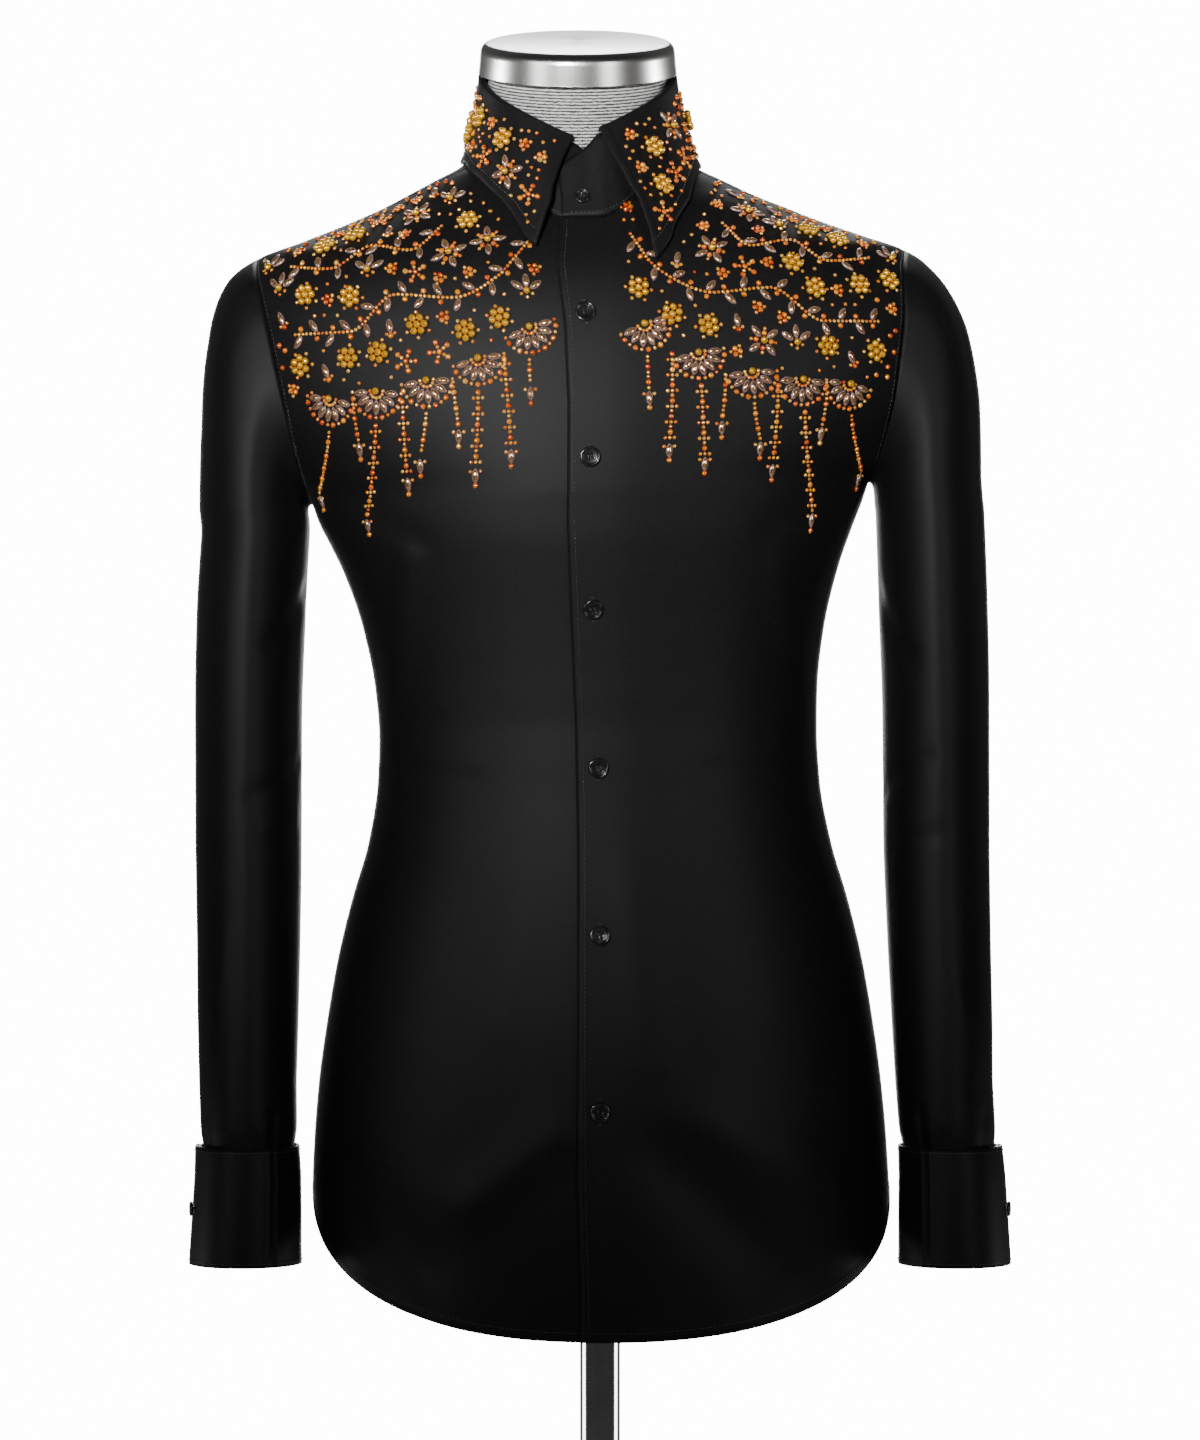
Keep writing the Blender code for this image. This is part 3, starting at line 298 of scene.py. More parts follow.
def hemLine(theta, low):
    # the tail's edge: low + rise * (1 - (1 - part^n)^(1/n)), a flattened quarter curve up to the side seam
    level = garment["hemZoneTop"]
    part = np.clip(np.abs(bodyPoint(theta, level)[..., 0]) / through(bodyTable, 1, level), 0.0, 1.0)
    n = garment["hemPower"]
    return low + (garment["sideHem"] - low) * (1 - (1 - part ** n) ** (1 / n))


def warp(points, sleeve=False):
    # the garment leans a little above the waist, and its shoulders tip
    points = np.array(points, dtype=float)
    z = points[..., 2].copy()
    lean = np.interp(z, leanTable[:, 0], leanTable[:, 2 if sleeve else 1])
    tip = np.interp(z, leanTable[:, 0], leanTable[:, 3])
    points[..., 2] = z + points[..., 0] * tip + garment["hemHeight"]
    points[..., 0] += lean
    return points


def newMesh(name, vertices, faces, looks, nodes=(), uv=None, faceLooks=None, smooth=True):
    # one finished piece at the origin, riding on the root body
    mesh = bpy.data.meshes.new(name)
    vertices = np.asarray(vertices, dtype=np.float32)
    faces = np.asarray(faces, dtype=np.int32)
    mesh.vertices.add(len(vertices))
    mesh.vertices.foreach_set("co", vertices.ravel())
    mesh.loops.add(faces.size)
    mesh.loops.foreach_set("vertex_index", faces.ravel())
    mesh.polygons.add(len(faces))
    mesh.polygons.foreach_set("loop_start", np.arange(len(faces), dtype=np.int32) * faces.shape[1])
    if uv is not None:
        layer = mesh.uv_layers.new(name="UVMap")
        layer.data.foreach_set("uv", np.asarray(uv, dtype=np.float32)[faces.ravel()].ravel())
    for look in looks if isinstance(looks, (list, tuple)) else [looks]:
        mesh.materials.append(look)
    if faceLooks is not None:
        mesh.polygons.foreach_set("material_index", np.asarray(faceLooks, dtype=np.int32))
    mesh.update(calc_edges=True)
    mesh.validate()
    if smooth:
        mesh.shade_smooth()
    made = bpy.data.objects.new(name, mesh)
    bpy.context.scene.collection.objects.link(made)
    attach(made, "root")
    for node in nodes:
        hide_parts(node)
    return made


def gridNormals(points, closed=False):
    # square to the grid's differences along its rows and columns
    if closed:
        across = np.roll(points, -1, axis=1) - np.roll(points, 1, axis=1)
    else:
        across = np.gradient(points, axis=1)
    return unit(np.cross(across, np.gradient(points, axis=0)))


def clothShell(name, node, outer, normals, wall=garment["wall"], keep=None, closed=False, sleeve=False,
               rise=0.0):
    # A closed wall from a grid: the outer layer raised by rise, the inner one lowered by the wall, and rims
    # along every free edge. UV holds metres across and up the cloth.
    rows, columns = outer.shape[:2]
    spans = columns if closed else columns - 1
    keep = np.ones((rows - 1, spans), bool) if keep is None else keep
    lift = np.broadcast_to(np.asarray(rise, float), (rows, columns))[..., None]
    outside, inside = outer + normals * lift, outer - normals * wall
    vertices = np.concatenate([outside.reshape(-1, 3), inside.reshape(-1, 3)])
    r, c = np.nonzero(keep)
    d = (c + 1) % columns
    a, b, e, f = r * columns + c, r * columns + d, (r + 1) * columns + d, (r + 1) * columns + c
    shift = rows * columns
    top = np.stack([a, b, e, f], axis=1)
    beside = np.pad(keep, 1)
    if closed:
        beside[1:-1, 0], beside[1:-1, -1] = keep[:, -1], keep[:, 0]
    rims = []
    sides = ((beside[r, c + 1], a, b), (beside[r + 1, c + 2], b, e),
             (beside[r + 2, c + 1], e, f), (beside[r + 1, c], f, a))
    for neighbour, start, end in sides:
        free = ~neighbour
        s, t = start[free], end[free]
        rims.append(np.stack([t, s, s + shift, t + shift], axis=1))
    faces = np.concatenate([top, top[:, ::-1] + shift] + rims)
    across = np.linalg.norm(np.diff(outer, axis=1), axis=-1)
    width = np.concatenate([np.zeros((rows, 1)), np.cumsum(across, axis=1)], axis=1)
    middle = width[:, columns // 2][:, None]
    flat = np.stack([width - middle, outer[..., 2]], axis=-1).reshape(-1, 2)
    used, faces = np.unique(faces, return_inverse=True)
    uv = np.concatenate([flat, flat])[used]
    vertices, faces = warp(vertices, sleeve)[used], faces.reshape(-1, 4)
    return newMesh(name, vertices, faces, sateen, [node], uv)


def pullIn(points, row=None, column=None, inner=None):
    # moves one edge of a grid a hair towards the inside, which leaves the seam's gap
    take = (slice(None), column) if row is None else (row, slice(None))
    beside = (slice(None), inner) if row is None else (inner, slice(None))
    points[take] += unit(points[beside] - points[take]) * garment["inset"]
    return points


# Materials.


def newMaterial(name, colour, rough, metal=0.0, **sockets):
    # one shader; the sockets named in the call get fixed values
    made = bpy.data.materials.new(name)
    made.use_nodes = True
    shader = made.node_tree.nodes["Principled BSDF"]
    shader.inputs["Base Color"].default_value = (*colour, 1.0)
    shader.inputs["Roughness"].default_value = rough
    shader.inputs["Metallic"].default_value = metal
    for key, value in sockets.items():
        shader.inputs[key.replace("_", " ")].default_value = value
    made.diffuse_color = (*colour, 1.0)
    return made, made.node_tree, shader


def addNode(tree, kind, **sockets):
    # one node; the sockets named in the call get fixed values
    node = tree.nodes.new(kind)
    for key, value in sockets.items():
        node.inputs[key.replace("_", " ")].default_value = value
    return node


def wire(tree, *links):
    # each link is a node and its output, then a node and its input
    for source, output, target, socket in links:
        tree.links.new(source.outputs[output], target.inputs[socket])


def shade(tree, source, output, shader, dark, light, low=0.35, high=0.65):
    # a two-colour ramp from a texture to the base colour
    ramp = tree.nodes.new("ShaderNodeValToRGB")
    for end, position, tone in zip(ramp.color_ramp.elements, (low, high), (dark, light)):
        end.position, end.color = position, (*tone, 1.0)
    wire(tree, (source, output, ramp, "Fac"), (ramp, "Color", shader, "Base Color"))


def roughBetween(tree, source, shader, low, high):
    # the texture moves the roughness between two values
    tone = addNode(tree, "ShaderNodeMapRange", To_Min=low, To_Max=high)
    wire(tree, (source, "Fac", tone, "Value"), (tone, "Result", shader, "Roughness"))


def bumpFrom(tree, source, output, shader, strength, distance):
    # the texture as a height
    bump = addNode(tree, "ShaderNodeBump", Strength=strength, Distance=distance)
    wire(tree, (source, output, bump, "Height"), (bump, "Normal", shader, "Normal"))


def varied(name, dark, light, rough, metal, scale, **sockets):
    # a small-scale noise in object space moves the colour between two tones and the roughness a little
    middle = tuple((a + b) / 2 for a, b in zip(dark, light))
    made, tree, shader = newMaterial(name, middle, rough, metal, **sockets)
    place = tree.nodes.new("ShaderNodeTexCoord")
    noise = addNode(tree, "ShaderNodeTexNoise", Scale=scale, Detail=2.0, Roughness=0.55)
    wire(tree, (place, "Object", noise, "Vector"))
    shade(tree, noise, "Fac", shader, dark, light)
    roughBetween(tree, noise, shader, rough * 0.75, rough * 1.35)
    return made


clothLook = {"colour": (0.0042, 0.0039, 0.0040), "worn": (0.0066, 0.0061, 0.0063), "rough": 0.50,
             "gloss": 0.12, "sheen": 0.02, "weave": 2600.0, "weaveDepth": 0.10, "slubs": 0.25,
             "slubScale": 420.0}


def makeSateen():
    # fine twill: diagonal lines in the cloth's own UV, a little slubby, with a soft sheen
    made, tree, shader = newMaterial("blackSateen", clothLook["colour"], clothLook["rough"], 0.0,
                                     Sheen_Weight=clothLook["sheen"], Sheen_Roughness=0.35,
                                     Specular_IOR_Level=clothLook["gloss"])
    place = tree.nodes.new("ShaderNodeUVMap")
    twill = addNode(tree, "ShaderNodeTexWave", Scale=clothLook["weave"] / 6.0, Distortion=0.4, Detail=1.0)
    twill.bands_direction = "DIAGONAL"
    slub = addNode(tree, "ShaderNodeTexNoise", Scale=clothLook["slubScale"], Detail=3.0, Roughness=0.6)
    mix = addNode(tree, "ShaderNodeMix", Factor=clothLook["slubs"])
    wire(tree, (place, "UV", twill, "Vector"), (place, "UV", slub, "Vector"),
         (twill, "Fac", mix, 2), (slub, "Fac", mix, 3))
    bumpFrom(tree, mix, 0, shader, clothLook["weaveDepth"], 0.0002)
    roughBetween(tree, slub, shader, clothLook["rough"] - 0.05, clothLook["rough"] + 0.07)
    shade(tree, slub, "Fac", shader, clothLook["colour"], clothLook["worn"])
    return made


sateen = makeSateen()
resin = varied("blackResin", (0.004, 0.004, 0.0045), (0.010, 0.010, 0.011), 0.15, 0.0, 260.0,
               Coat_Weight=0.20, Coat_Roughness=0.10, Specular_IOR_Level=0.40)
thread = varied("blackThread", (0.008, 0.0075, 0.008), (0.020, 0.019, 0.020), 0.42, 0.0, 1900.0,
                Sheen_Weight=0.1)


# the dark tone is painted shade in the gaps between the rows of stitches, and also the heather's own dark
# flecks
knitLook = {"row": 0.0021, "stitch": 0.0016, "dark": (0.020, 0.020, 0.019), "light": (0.58, 0.57, 0.55),
            "grey": (0.44, 0.435, 0.42), "fleck": (170.0, 900.0, 1.0), "darkBelow": 0.33, "lightAbove": 0.58}


def makeJersey():
    # heathered knit in the neck's own UV (metres): rows of stitches with painted shade in the gaps between
    # them, flecked unevenly by the heather's own tone
    made, tree, shader = newMaterial("greyJersey", knitLook["grey"], 0.85, 0.0, Sheen_Weight=0.15)
    place = tree.nodes.new("ShaderNodeUVMap")
    rows = addNode(tree, "ShaderNodeTexWave", Scale=math.pi / 10 / knitLook["row"], Distortion=2.2)
    stitches = addNode(tree, "ShaderNodeTexWave", Scale=math.pi / 10 / knitLook["stitch"], Distortion=1.8)
    for wave, bands in ((rows, "Y"), (stitches, "X")):
        wave.bands_direction = bands
        wave.inputs["Detail"].default_value, wave.inputs["Detail Scale"].default_value = 2.0, 3.0
    stretch = addNode(tree, "ShaderNodeMapping", Scale=knitLook["fleck"])
    fleck = addNode(tree, "ShaderNodeTexNoise", Scale=1.0, Detail=4.0, Roughness=0.7)
    grid, soft = tree.nodes.new("ShaderNodeMath"), tree.nodes.new("ShaderNodeMath")
    grid.operation, soft.operation = "MULTIPLY", "MULTIPLY_ADD"
    soft.inputs[1].default_value, soft.inputs[2].default_value = 0.4, 0.6
    mottled = addNode(tree, "ShaderNodeMix", Factor=0.5)
    wire(tree, (place, "UV", rows, "Vector"), (place, "UV", stitches, "Vector"),
         (place, "UV", stretch, "Vector"), (stretch, "Vector", fleck, "Vector"), (stitches, "Fac", soft, 0),
         (rows, "Fac", grid, 0), (soft, "Value", grid, 1), (grid, "Value", mottled, 2),
         (fleck, "Fac", mottled, 3))
    # painted shade: the ramp darkens where the rows of stitches dip, the same places where the bump sinks
    shade(tree, mottled, 0, shader, knitLook["dark"], knitLook["light"], knitLook["darkBelow"],
          knitLook["lightAbove"])
    bumpFrom(tree, mottled, 0, shader, 0.6, 0.0004)
    return made


def makeBrushed():
    # steel brushed round the axis: fine rings in the height
    made, tree, shader = newMaterial("brushedSteel", (0.38, 0.375, 0.365), 0.24, 1.0, Anisotropic=0.5)
    place = tree.nodes.new("ShaderNodeTexCoord")
    stretch = addNode(tree, "ShaderNodeMapping", Scale=(8.0, 8.0, 2600.0))
    lines = addNode(tree, "ShaderNodeTexNoise", Scale=1.0, Detail=3.0, Roughness=0.7)
    wire(tree, (place, "Object", stretch, "Vector"), (stretch, "Vector", lines, "Vector"))
    bumpFrom(tree, lines, "Fac", shader, 0.03, 0.0001)
    return made


jersey = makeJersey()
brushed = makeBrushed()
chrome = varied("chrome", (0.66, 0.66, 0.67), (0.78, 0.78, 0.79), 0.07, 1.0, 30.0)
print("materials ready")

# The two fronts and the back.

panels = {"hemRows": 34, "bodyRow": 0.0040, "shoulderRow": 0.0013, "turnOver": 0.690, "leastRow": 0.0002,
          "stripColumns": 8, "frontColumns": 64, "backColumns": 110, "rollEase": 0.0008}


def panelLevels(top):
    # the hem zone's rows, then body rows above it, closer together where the shoulder turns over
    lower = np.arange(garment["hemZoneTop"], panels["turnOver"], panels["bodyRow"])
    upper = np.arange(panels["turnOver"], top, panels["shoulderRow"])
    marks = [garment["underarm"], garment["shoulderPoint"], garment["yokeSeam"], neckLow, top]
    levels = np.unique(np.concatenate([lower, upper, [m for m in marks if m <= top]]))
    levels = levels[np.concatenate([[True], np.diff(levels) > panels["leastRow"]])]
    return np.concatenate([np.full(panels["hemRows"], garment["hemZoneTop"]), levels])


def hemRoll(height, edge):
    # the narrow hem: a band that stands out a little and rounds off at the edge and at its stitch line
    above, ease = height - edge, panels["rollEase"]
    shut = softStep((above - garment["rollBand"] + 0.0006) / ease)
    return garment["rollRise"] * softStep(above / ease) * (1 - shut)


def panelHeights(level, theta, low):
    # each point's height, the lowest rows spread from the tail's edge up, and how far the hem stands out
    height = np.repeat(level[:, None], theta.shape[1], axis=1)
    hem = hemLine(theta[0], low)
    steps = np.linspace(0.0, 1.0, panels["hemRows"] + 1)[:-1, None]
    height[:len(steps)] = hem + steps * (garment["hemZoneTop"] - hem)
    return height, hemRoll(height, hem[None, :])


def layerLift(side, x):
    # how far a front stands off the body: the top layer's step, easing away from the closure
    ramp = 1 - softStep((side * x - garment["overlapHalf"]) / garment["rampEnd"])
    return (garment["wall"] + garment["layerGap"]) * ramp if side > 0 else 0.0 * ramp


def frontGrid(side):
    # rows by height, columns from the free edge (a strip round the centre line) to the outer seam
    strip, half = panels["stripColumns"], garment["overlapHalf"]
    level = panelLevels(float(frontZ[-1]))
    stripTheta = np.stack([thetaOfX(x, level) for x in np.linspace(-half, half, strip + 1)], axis=1)
    above = level > neckLow + 1e-6
    start = np.where(above, np.interp(level, frontZ, frontTheta), stripTheta[:, -1])
    stripTheta = np.where(above[:, None], start[:, None], stripTheta)
    share = np.linspace(0.0, 1.0, panels["frontColumns"] + 1)[1:]
    mainTheta = start[:, None] + (outerTheta(level) - start)[:, None] * share
    theta = np.concatenate([stripTheta, mainTheta], axis=1)
    height, rise = panelHeights(level, theta, garment["frontHem"])
    points, normals = bodyFace(theta * side, height)
    points = pullIn(points, column=-1, inner=-2)
    points = points + normals * layerLift(side, points[..., 0])[..., None]
    keep = np.ones((len(level) - 1, theta.shape[1] - 1), bool)
    keep[above[1:], :strip] = False
    parts = (points, normals, keep, rise)
    return parts if side > 0 else [part[:, ::-1] for part in parts]


def backGrid():
    # columns from the wearer's left side seam and armhole round the back, rows up to the yoke seam
    level = panelLevels(garment["yokeSeam"])
    start = math.pi - outerTheta(level)
    share = np.linspace(0.0, 1.0, panels["backColumns"] + 1)
    theta = start[:, None] + (2 * math.pi - 2 * start)[:, None] * share
    height, rise = panelHeights(level, theta, garment["backHem"])
    points, normals = bodyFace(theta, height)
    for edge in ({"column": 0, "inner": 1}, {"column": -1, "inner": -2}, {"row": -1, "inner": -2}):
        points = pullIn(points, **edge)
    return points, normals, rise


for side, word in ((-1, "Right"), (1, "Left")):
    points, normals, keep, rise = frontGrid(side)
    front = clothShell(f"front{word}", f"front_{word.lower()}", points, normals, keep=keep, rise=rise)
points, normals, rise = backGrid()
back = clothShell("backPanel", "back", points, normals, rise=rise)
print("fronts and back ready")

# The yoke.

yoke = {"columns": 150, "rows": 46, "lowRows": 12, "turnOver": 0.694}


def yokeGrid():
    # rows from the back seam to the neckline; the upper rows follow the neckline's rise to the back
    angle = np.linspace(neckStep * 6, neckStep * 26, yoke["columns"] + 1)
    top, topZ = neckline(angle)
    top = np.where(top < 0, top + 2 * math.pi, top)
    share = (top - top[0]) / (top[-1] - top[0])
    base, tip = garment["yokeSeam"], garment["shoulderPoint"]
    lower = np.linspace(base, yoke["turnOver"], yoke["lowRows"])
    upper = np.linspace(yoke["turnOver"], seamEndZ, yoke["rows"] - yoke["lowRows"])
    level = np.unique(np.concatenate([lower, upper, [tip]]))
    start = np.where(level < tip, math.pi - outerTheta(level), outerTheta(level))
    part = ((level - base) / (seamEndZ - base)) ** 3
    theta = start[:, None] + share * (2 * math.pi - 2 * start)[:, None]
    height = level[:, None] + part[:, None] * (topZ - seamEndZ)
    points, normals = bodyFace(theta, height)
    for edge in ({"column": 0, "inner": 1}, {"column": -1, "inner": -2}, {"row": 0, "inner": 1}):
        points = pullIn(points, **edge)
    return points, normals


yokePiece = clothShell("yokePanel", "yoke", *yokeGrid())
print("yoke ready")

# Sleeves, plackets and cuffs.

# Sleeve sections: height, centre, half width, half depth, middle of the depth
sleeveTable = np.array([
    (0.118, 0.2247, 0.0288, 0.0425, -0.0180),
    (0.129, 0.2246, 0.0294, 0.0430, -0.0178),
    (0.140, 0.2242, 0.0309, 0.0450, -0.0175),
    (0.170, 0.2236, 0.0314, 0.0470, -0.0160),
    (0.208, 0.2230, 0.0324, 0.0490, -0.0140),
    (0.266, 0.2220, 0.0334, 0.0520, -0.0100),
    (0.324, 0.2215, 0.0342, 0.0555, -0.0060),
    (0.402, 0.2215, 0.0345, 0.0600, -0.0025),
    (0.479, 0.2197, 0.0352, 0.0635, 0.0000),
    (0.535, 0.2172, 0.0350, 0.0650, 0.0010),
])
# Cuff sections, in the same columns
cuffTable = np.array([
    (0.0535, 0.2265, 0.0352, 0.0470, -0.0195),
    (0.0600, 0.2264, 0.0350, 0.0468, -0.0194),
    (0.0950, 0.2254, 0.0338, 0.0460, -0.0186),
    (0.1290, 0.2246, 0.0325, 0.0452, -0.0178),
])
# Sleeve creases: side (0 on both), two ends as degrees round from the underarm and heights, half breadth,
# height (below 0 a trough)
armFolds = np.array([
    (0, 55.0, 0.112, 53.0, 0.152, 0.0030, -0.0021),
    (0, 76.0, 0.112, 80.0, 0.138, 0.0026, -0.0012),
    (-1, 147.0, 0.112, 143.0, 0.153, 0.0030, -0.0017),
    (1, 135.0, 0.112, 139.0, 0.150, 0.0030, -0.0017),
    (0, 196.0, 0.112, 193.0, 0.146, 0.0030, -0.0016),
    (0, 262.0, 0.112, 266.0, 0.158, 0.0032, -0.0018),
    (0, 300.0, 0.112, 295.0, 0.142, 0.0028, -0.0013),
    (-1, 18.0, 0.372, 84.0, 0.352, 0.0062, -0.0013),
    (-1, 24.0, 0.340, 70.0, 0.332, 0.0050, 0.0009),
    (1, 14.0, 0.358, 78.0, 0.377, 0.0060, -0.0012),
    (1, 30.0, 0.322, 92.0, 0.330, 0.0054, -0.0009),
    (0, 344.0, 0.360, 288.0, 0.341, 0.0060, -0.0012),
    (-1, 10.0, 0.486, 62.0, 0.452, 0.0080, -0.0016),
    (1, 12.0, 0.480, 58.0, 0.440, 0.0080, -0.0014),
    (0, 338.0, 0.478, 290.0, 0.440, 0.0080, -0.0015),
    (-1, 112.0, 0.262, 132.0, 0.190, 0.0070, 0.0009),
    (1, 104.0, 0.236, 126.0, 0.180, 0.0070, 0.0009),
])
sleeve = {"topRing": 0.535, "degreeRun": 0.00072, "capRows": 36, "armRows": 110, "halfColumns": 44,
          "capStart": (0.93, 0.0, -0.37), "startPull": 0.27, "endPull": 0.45}
cuff = {"wall": 0.0016, "start": 60.0, "turn": 405.0, "columns": 270, "rows": 30, "corner": 0.010,
        "degreeRun": 0.00070, "overlapFrom": 345.0, "overlapRun": 60.0,
        "pressed": ((323.0, 1.7, 0.0006), (333.0, 1.5, 0.0005))}


def armholeTheta(z):
    # the armhole's angle at rising heights; both ends lie at the side
    theta = outerTheta(z)
    theta[0] = theta[-1] = math.pi / 2
    return theta


def armholeLoop():
    # up the front side of the armhole and down the back, evenly spaced along the seam
    z = np.linspace(garment["underarm"], garment["shoulderPoint"], 400)
    length = runAlong(bodyPoint(armholeTheta(z), z))
    even = np.interp(np.linspace(0.0, length[-1], sleeve["halfColumns"] + 1), length, z)
    theta = armholeTheta(even)
    back = bodyPoint(math.pi - theta, even)[1:-1][::-1]
    phi = math.pi * np.arange(sleeve["halfColumns"] * 2) / sleeve["halfColumns"]
    return np.concatenate([bodyPoint(theta, even), back]), phi


def armLift(side, phi, z):
    # the creases lie along lines in the unrolled sleeve and have the same round flanks as the body's folds
    turn = np.degrees(phi) % 360.0
    lift = np.zeros(np.broadcast(phi, z).shape)
    for where, a0, z0, a1, z1, breadth, height in armFolds:
        if where * side < 0:
            continue
        runX, runZ = (a1 - a0) * sleeve["degreeRun"], z1 - z0
        offX, offZ = (turn - a0) * sleeve["degreeRun"], z - z0
        near = np.clip((offX * runX + offZ * runZ) / (runX ** 2 + runZ ** 2), 0.0, 1.0)
        lift = lift + height * np.exp(-(np.hypot(offX - near * runX, offZ - near * runZ) / breadth) ** 2)
    return lift


def sleeveRing(phi, z, side=0):
    # phi 0 at the underarm side, a quarter turn at the front, a half turn at the outer side
    centre, half, depth, middle = through(sleeveTable, (1, 2, 3, 4), z)
    lift = armLift(side, phi, z) if side else 0.0
    x, y = centre - (half + lift) * np.cos(phi), middle - (depth + lift) * np.sin(phi)
    return np.stack([x, y, z + 0 * phi], axis=-1)


def sleeveGrid(side):
    # the cap sweeps from the armhole to the first level ring along cubic curves; below it are level rings
    loop, phi = armholeLoop()
    loop = loop + np.array([garment["inset"], 0.0, 0.0])
    ring = sleeveRing(phi, sleeve["topRing"])
    reach = np.linalg.norm(ring - loop, axis=1, keepdims=True)
    leave = loop + reach * sleeve["startPull"] * np.array(sleeve["capStart"])
    arrive = ring + reach * sleeve["endPull"] * np.array([0.0, 0.0, 1.0])
    t = np.linspace(0.0, 1.0, sleeve["capRows"] + 1)[:, None, None]
    cap = loop * (1 - t) ** 3 + 3 * leave * t * (1 - t) ** 2 + 3 * arrive * t ** 2 * (1 - t) + ring * t ** 3
    arm = np.linspace(sleeve["topRing"], sleeveTable[0, 0], sleeve["armRows"] + 1)[1:, None]
    grid = np.concatenate([cap, sleeveRing(phi[None, :], arm, side)])[::-1]
    return mirrored(grid, side)


def outward(points, closed=False):
    # the grid's normals, turned so that they point away from the middle of a ring
    normals = gridNormals(points, closed)
    probe = points[2, 5] - points[2].mean(axis=0)
    return normals if normals[2, 5] @ probe > 0 else -normals


def cuffGrid(side):
    # once round the wrist and on over its own start, which it clears; the free end has a rounded lower corner
    # and the front two thin pressed lines
    turn = cuff["start"] + cuff["turn"] * np.linspace(0.0, 1.0, cuff["columns"] + 1)
    angle = np.radians(turn)
    over = softStep((turn - cuff["overlapFrom"]) / cuff["overlapRun"])
    raised = (cuff["wall"] + garment["layerGap"]) * over
    for at, breadth, height in cuff["pressed"]:
        raised = raised + height * np.exp(-((turn - at) / breadth) ** 2)
    short = np.clip(cuff["corner"] - (turn[-1] - turn) * cuff["degreeRun"], 0.0, cuff["corner"])
    low = cuffTable[0, 0] + cuff["corner"] - np.sqrt(cuff["corner"] ** 2 - short ** 2)
    z = low + (cuffTable[-1, 0] - low) * np.linspace(0.0, 1.0, cuff["rows"] + 1)[:, None]
    centre, half, depth, middle = through(cuffTable, (1, 2, 3, 4), z)
    x = centre + (half + raised) * np.sin(angle)
    y = middle - (depth + raised) * np.cos(angle)
    grid = np.stack([x, y, z + 0 * x], axis=-1)
    return mirrored(grid, side)


for side, word in ((1, "Left"), (-1, "Right")):
    low = word.lower()
    grid = sleeveGrid(side)
    normals = outward(grid, True)
    arm = clothShell(f"sleeve{word}", f"sleeve_{low}", grid, normals, closed=True, sleeve=True)
    grid = cuffGrid(side)
    band = clothShell(f"cuff{word}", f"cuff_{low}", grid, outward(grid), cuff["wall"], sleeve=True)
print("sleeves and cuffs ready")

# Placket strips, from the sleeve's own surface moved out.

placket = {"low": 0.141, "high": 0.3235, "columns": 8, "rows": 60, "clear": 0.0003}


def placketPhis():
    # the strip covers the solids' column: the 13th of their 20 steps round the armhole
    z = np.array([0.548, 0.5505, 0.558, 0.570, 0.590, 0.615, 0.640, 0.660, 0.680, 0.694, 0.702])
    length = runAlong(bodyPoint(armholeTheta(z), z))
    phi = math.pi * length / length[-1]
    full = np.concatenate([phi, 2 * math.pi - phi[1:-1][::-1]])
    return full[12], full[13]


def placketGrid(side):
    # a patch of the sleeve between two angles, moved out by the cloth's wall
    z = np.linspace(placket["low"], placket["high"], placket["rows"] + 1)
    phi = np.linspace(*placketPhis(), placket["columns"] + 1)[None, :]
    grid = mirrored(sleeveRing(phi, z[:, None], side), side)
    normals = gridNormals(grid)
    away = grid[5, 2] - sleeveRing(np.array([0.0, math.pi]), z[5]).mean(axis=0) * np.array([side, 1.0, 1.0])
    normals = normals if normals[5, 2] @ away > 0 else -normals
    return grid + normals * (garment["wall"] + placket["clear"]), normals


for side, word in ((1, "Left"), (-1, "Right")):
    grid, normals = placketGrid(side)
    strip = clothShell(f"sleevePlacket{word}", f"sleeve_placket_{word.lower()}", grid, normals, sleeve=True)
print("plackets ready")

# The collar: a stand, and a leaf that rolls over its top.

# Along the leaf from its front edge to the middle of the back: fold angle, angle and height of the edge
leafRight = np.array([
    (0.00, 2.0, 6.25, 0.6990), (0.20, 25.0, 16.2, 0.7225), (0.40, 50.0, 38.7, 0.7455),
    (0.60, 82.0, 80.0, 0.7590), (0.80, 128.0, 128.0, 0.7590), (1.00, 180.0, 180.0, 0.7570),
])
leafLeft = np.array([
    (0.00, 13.0, 10.7, 0.6896), (0.20, 28.0, 16.1, 0.7090), (0.40, 46.0, 29.9, 0.7310),
    (0.60, 73.0, 59.2, 0.7515), (0.80, 122.0, 119.0, 0.7590), (1.00, 180.0, 180.0, 0.7570),
])
collar = {"standSteps": 34, "standColumns": 220, "standRows": 14, "leafColumns": 110, "leafRows": 30,
          "rollRows": 8, "rollHeight": 0.0016, "edgeBand": 0.0045, "edgeRise": 0.0003}


def foldHeight(psi):
    # rises evenly from the front to the sides, then gently to the back
    turn = np.degrees(np.abs(psi))
    toSide = neck["foldFront"] + (neck["foldSide"] - neck["foldFront"]) * turn / 90.0
    toBack = neck["foldSide"] + (neck["foldBack"] - neck["foldSide"]) * softStep((turn - 90.0) / 90.0)
    return np.where(turn < 90.0, toSide, toBack)


def roundNeck(psi, z, out=0.0):
    # an ellipse round a neck axis that leans forward as it rises
    axis = neck["axisY"] - (z - neck["axisZ"]) * neck["lean"]
    x, y = (neck["foldHalf"] + out) * np.sin(psi), axis - (neck["foldDepth"] + out) * np.cos(psi)
    return np.stack([x, y, z + 0 * psi], axis=-1)


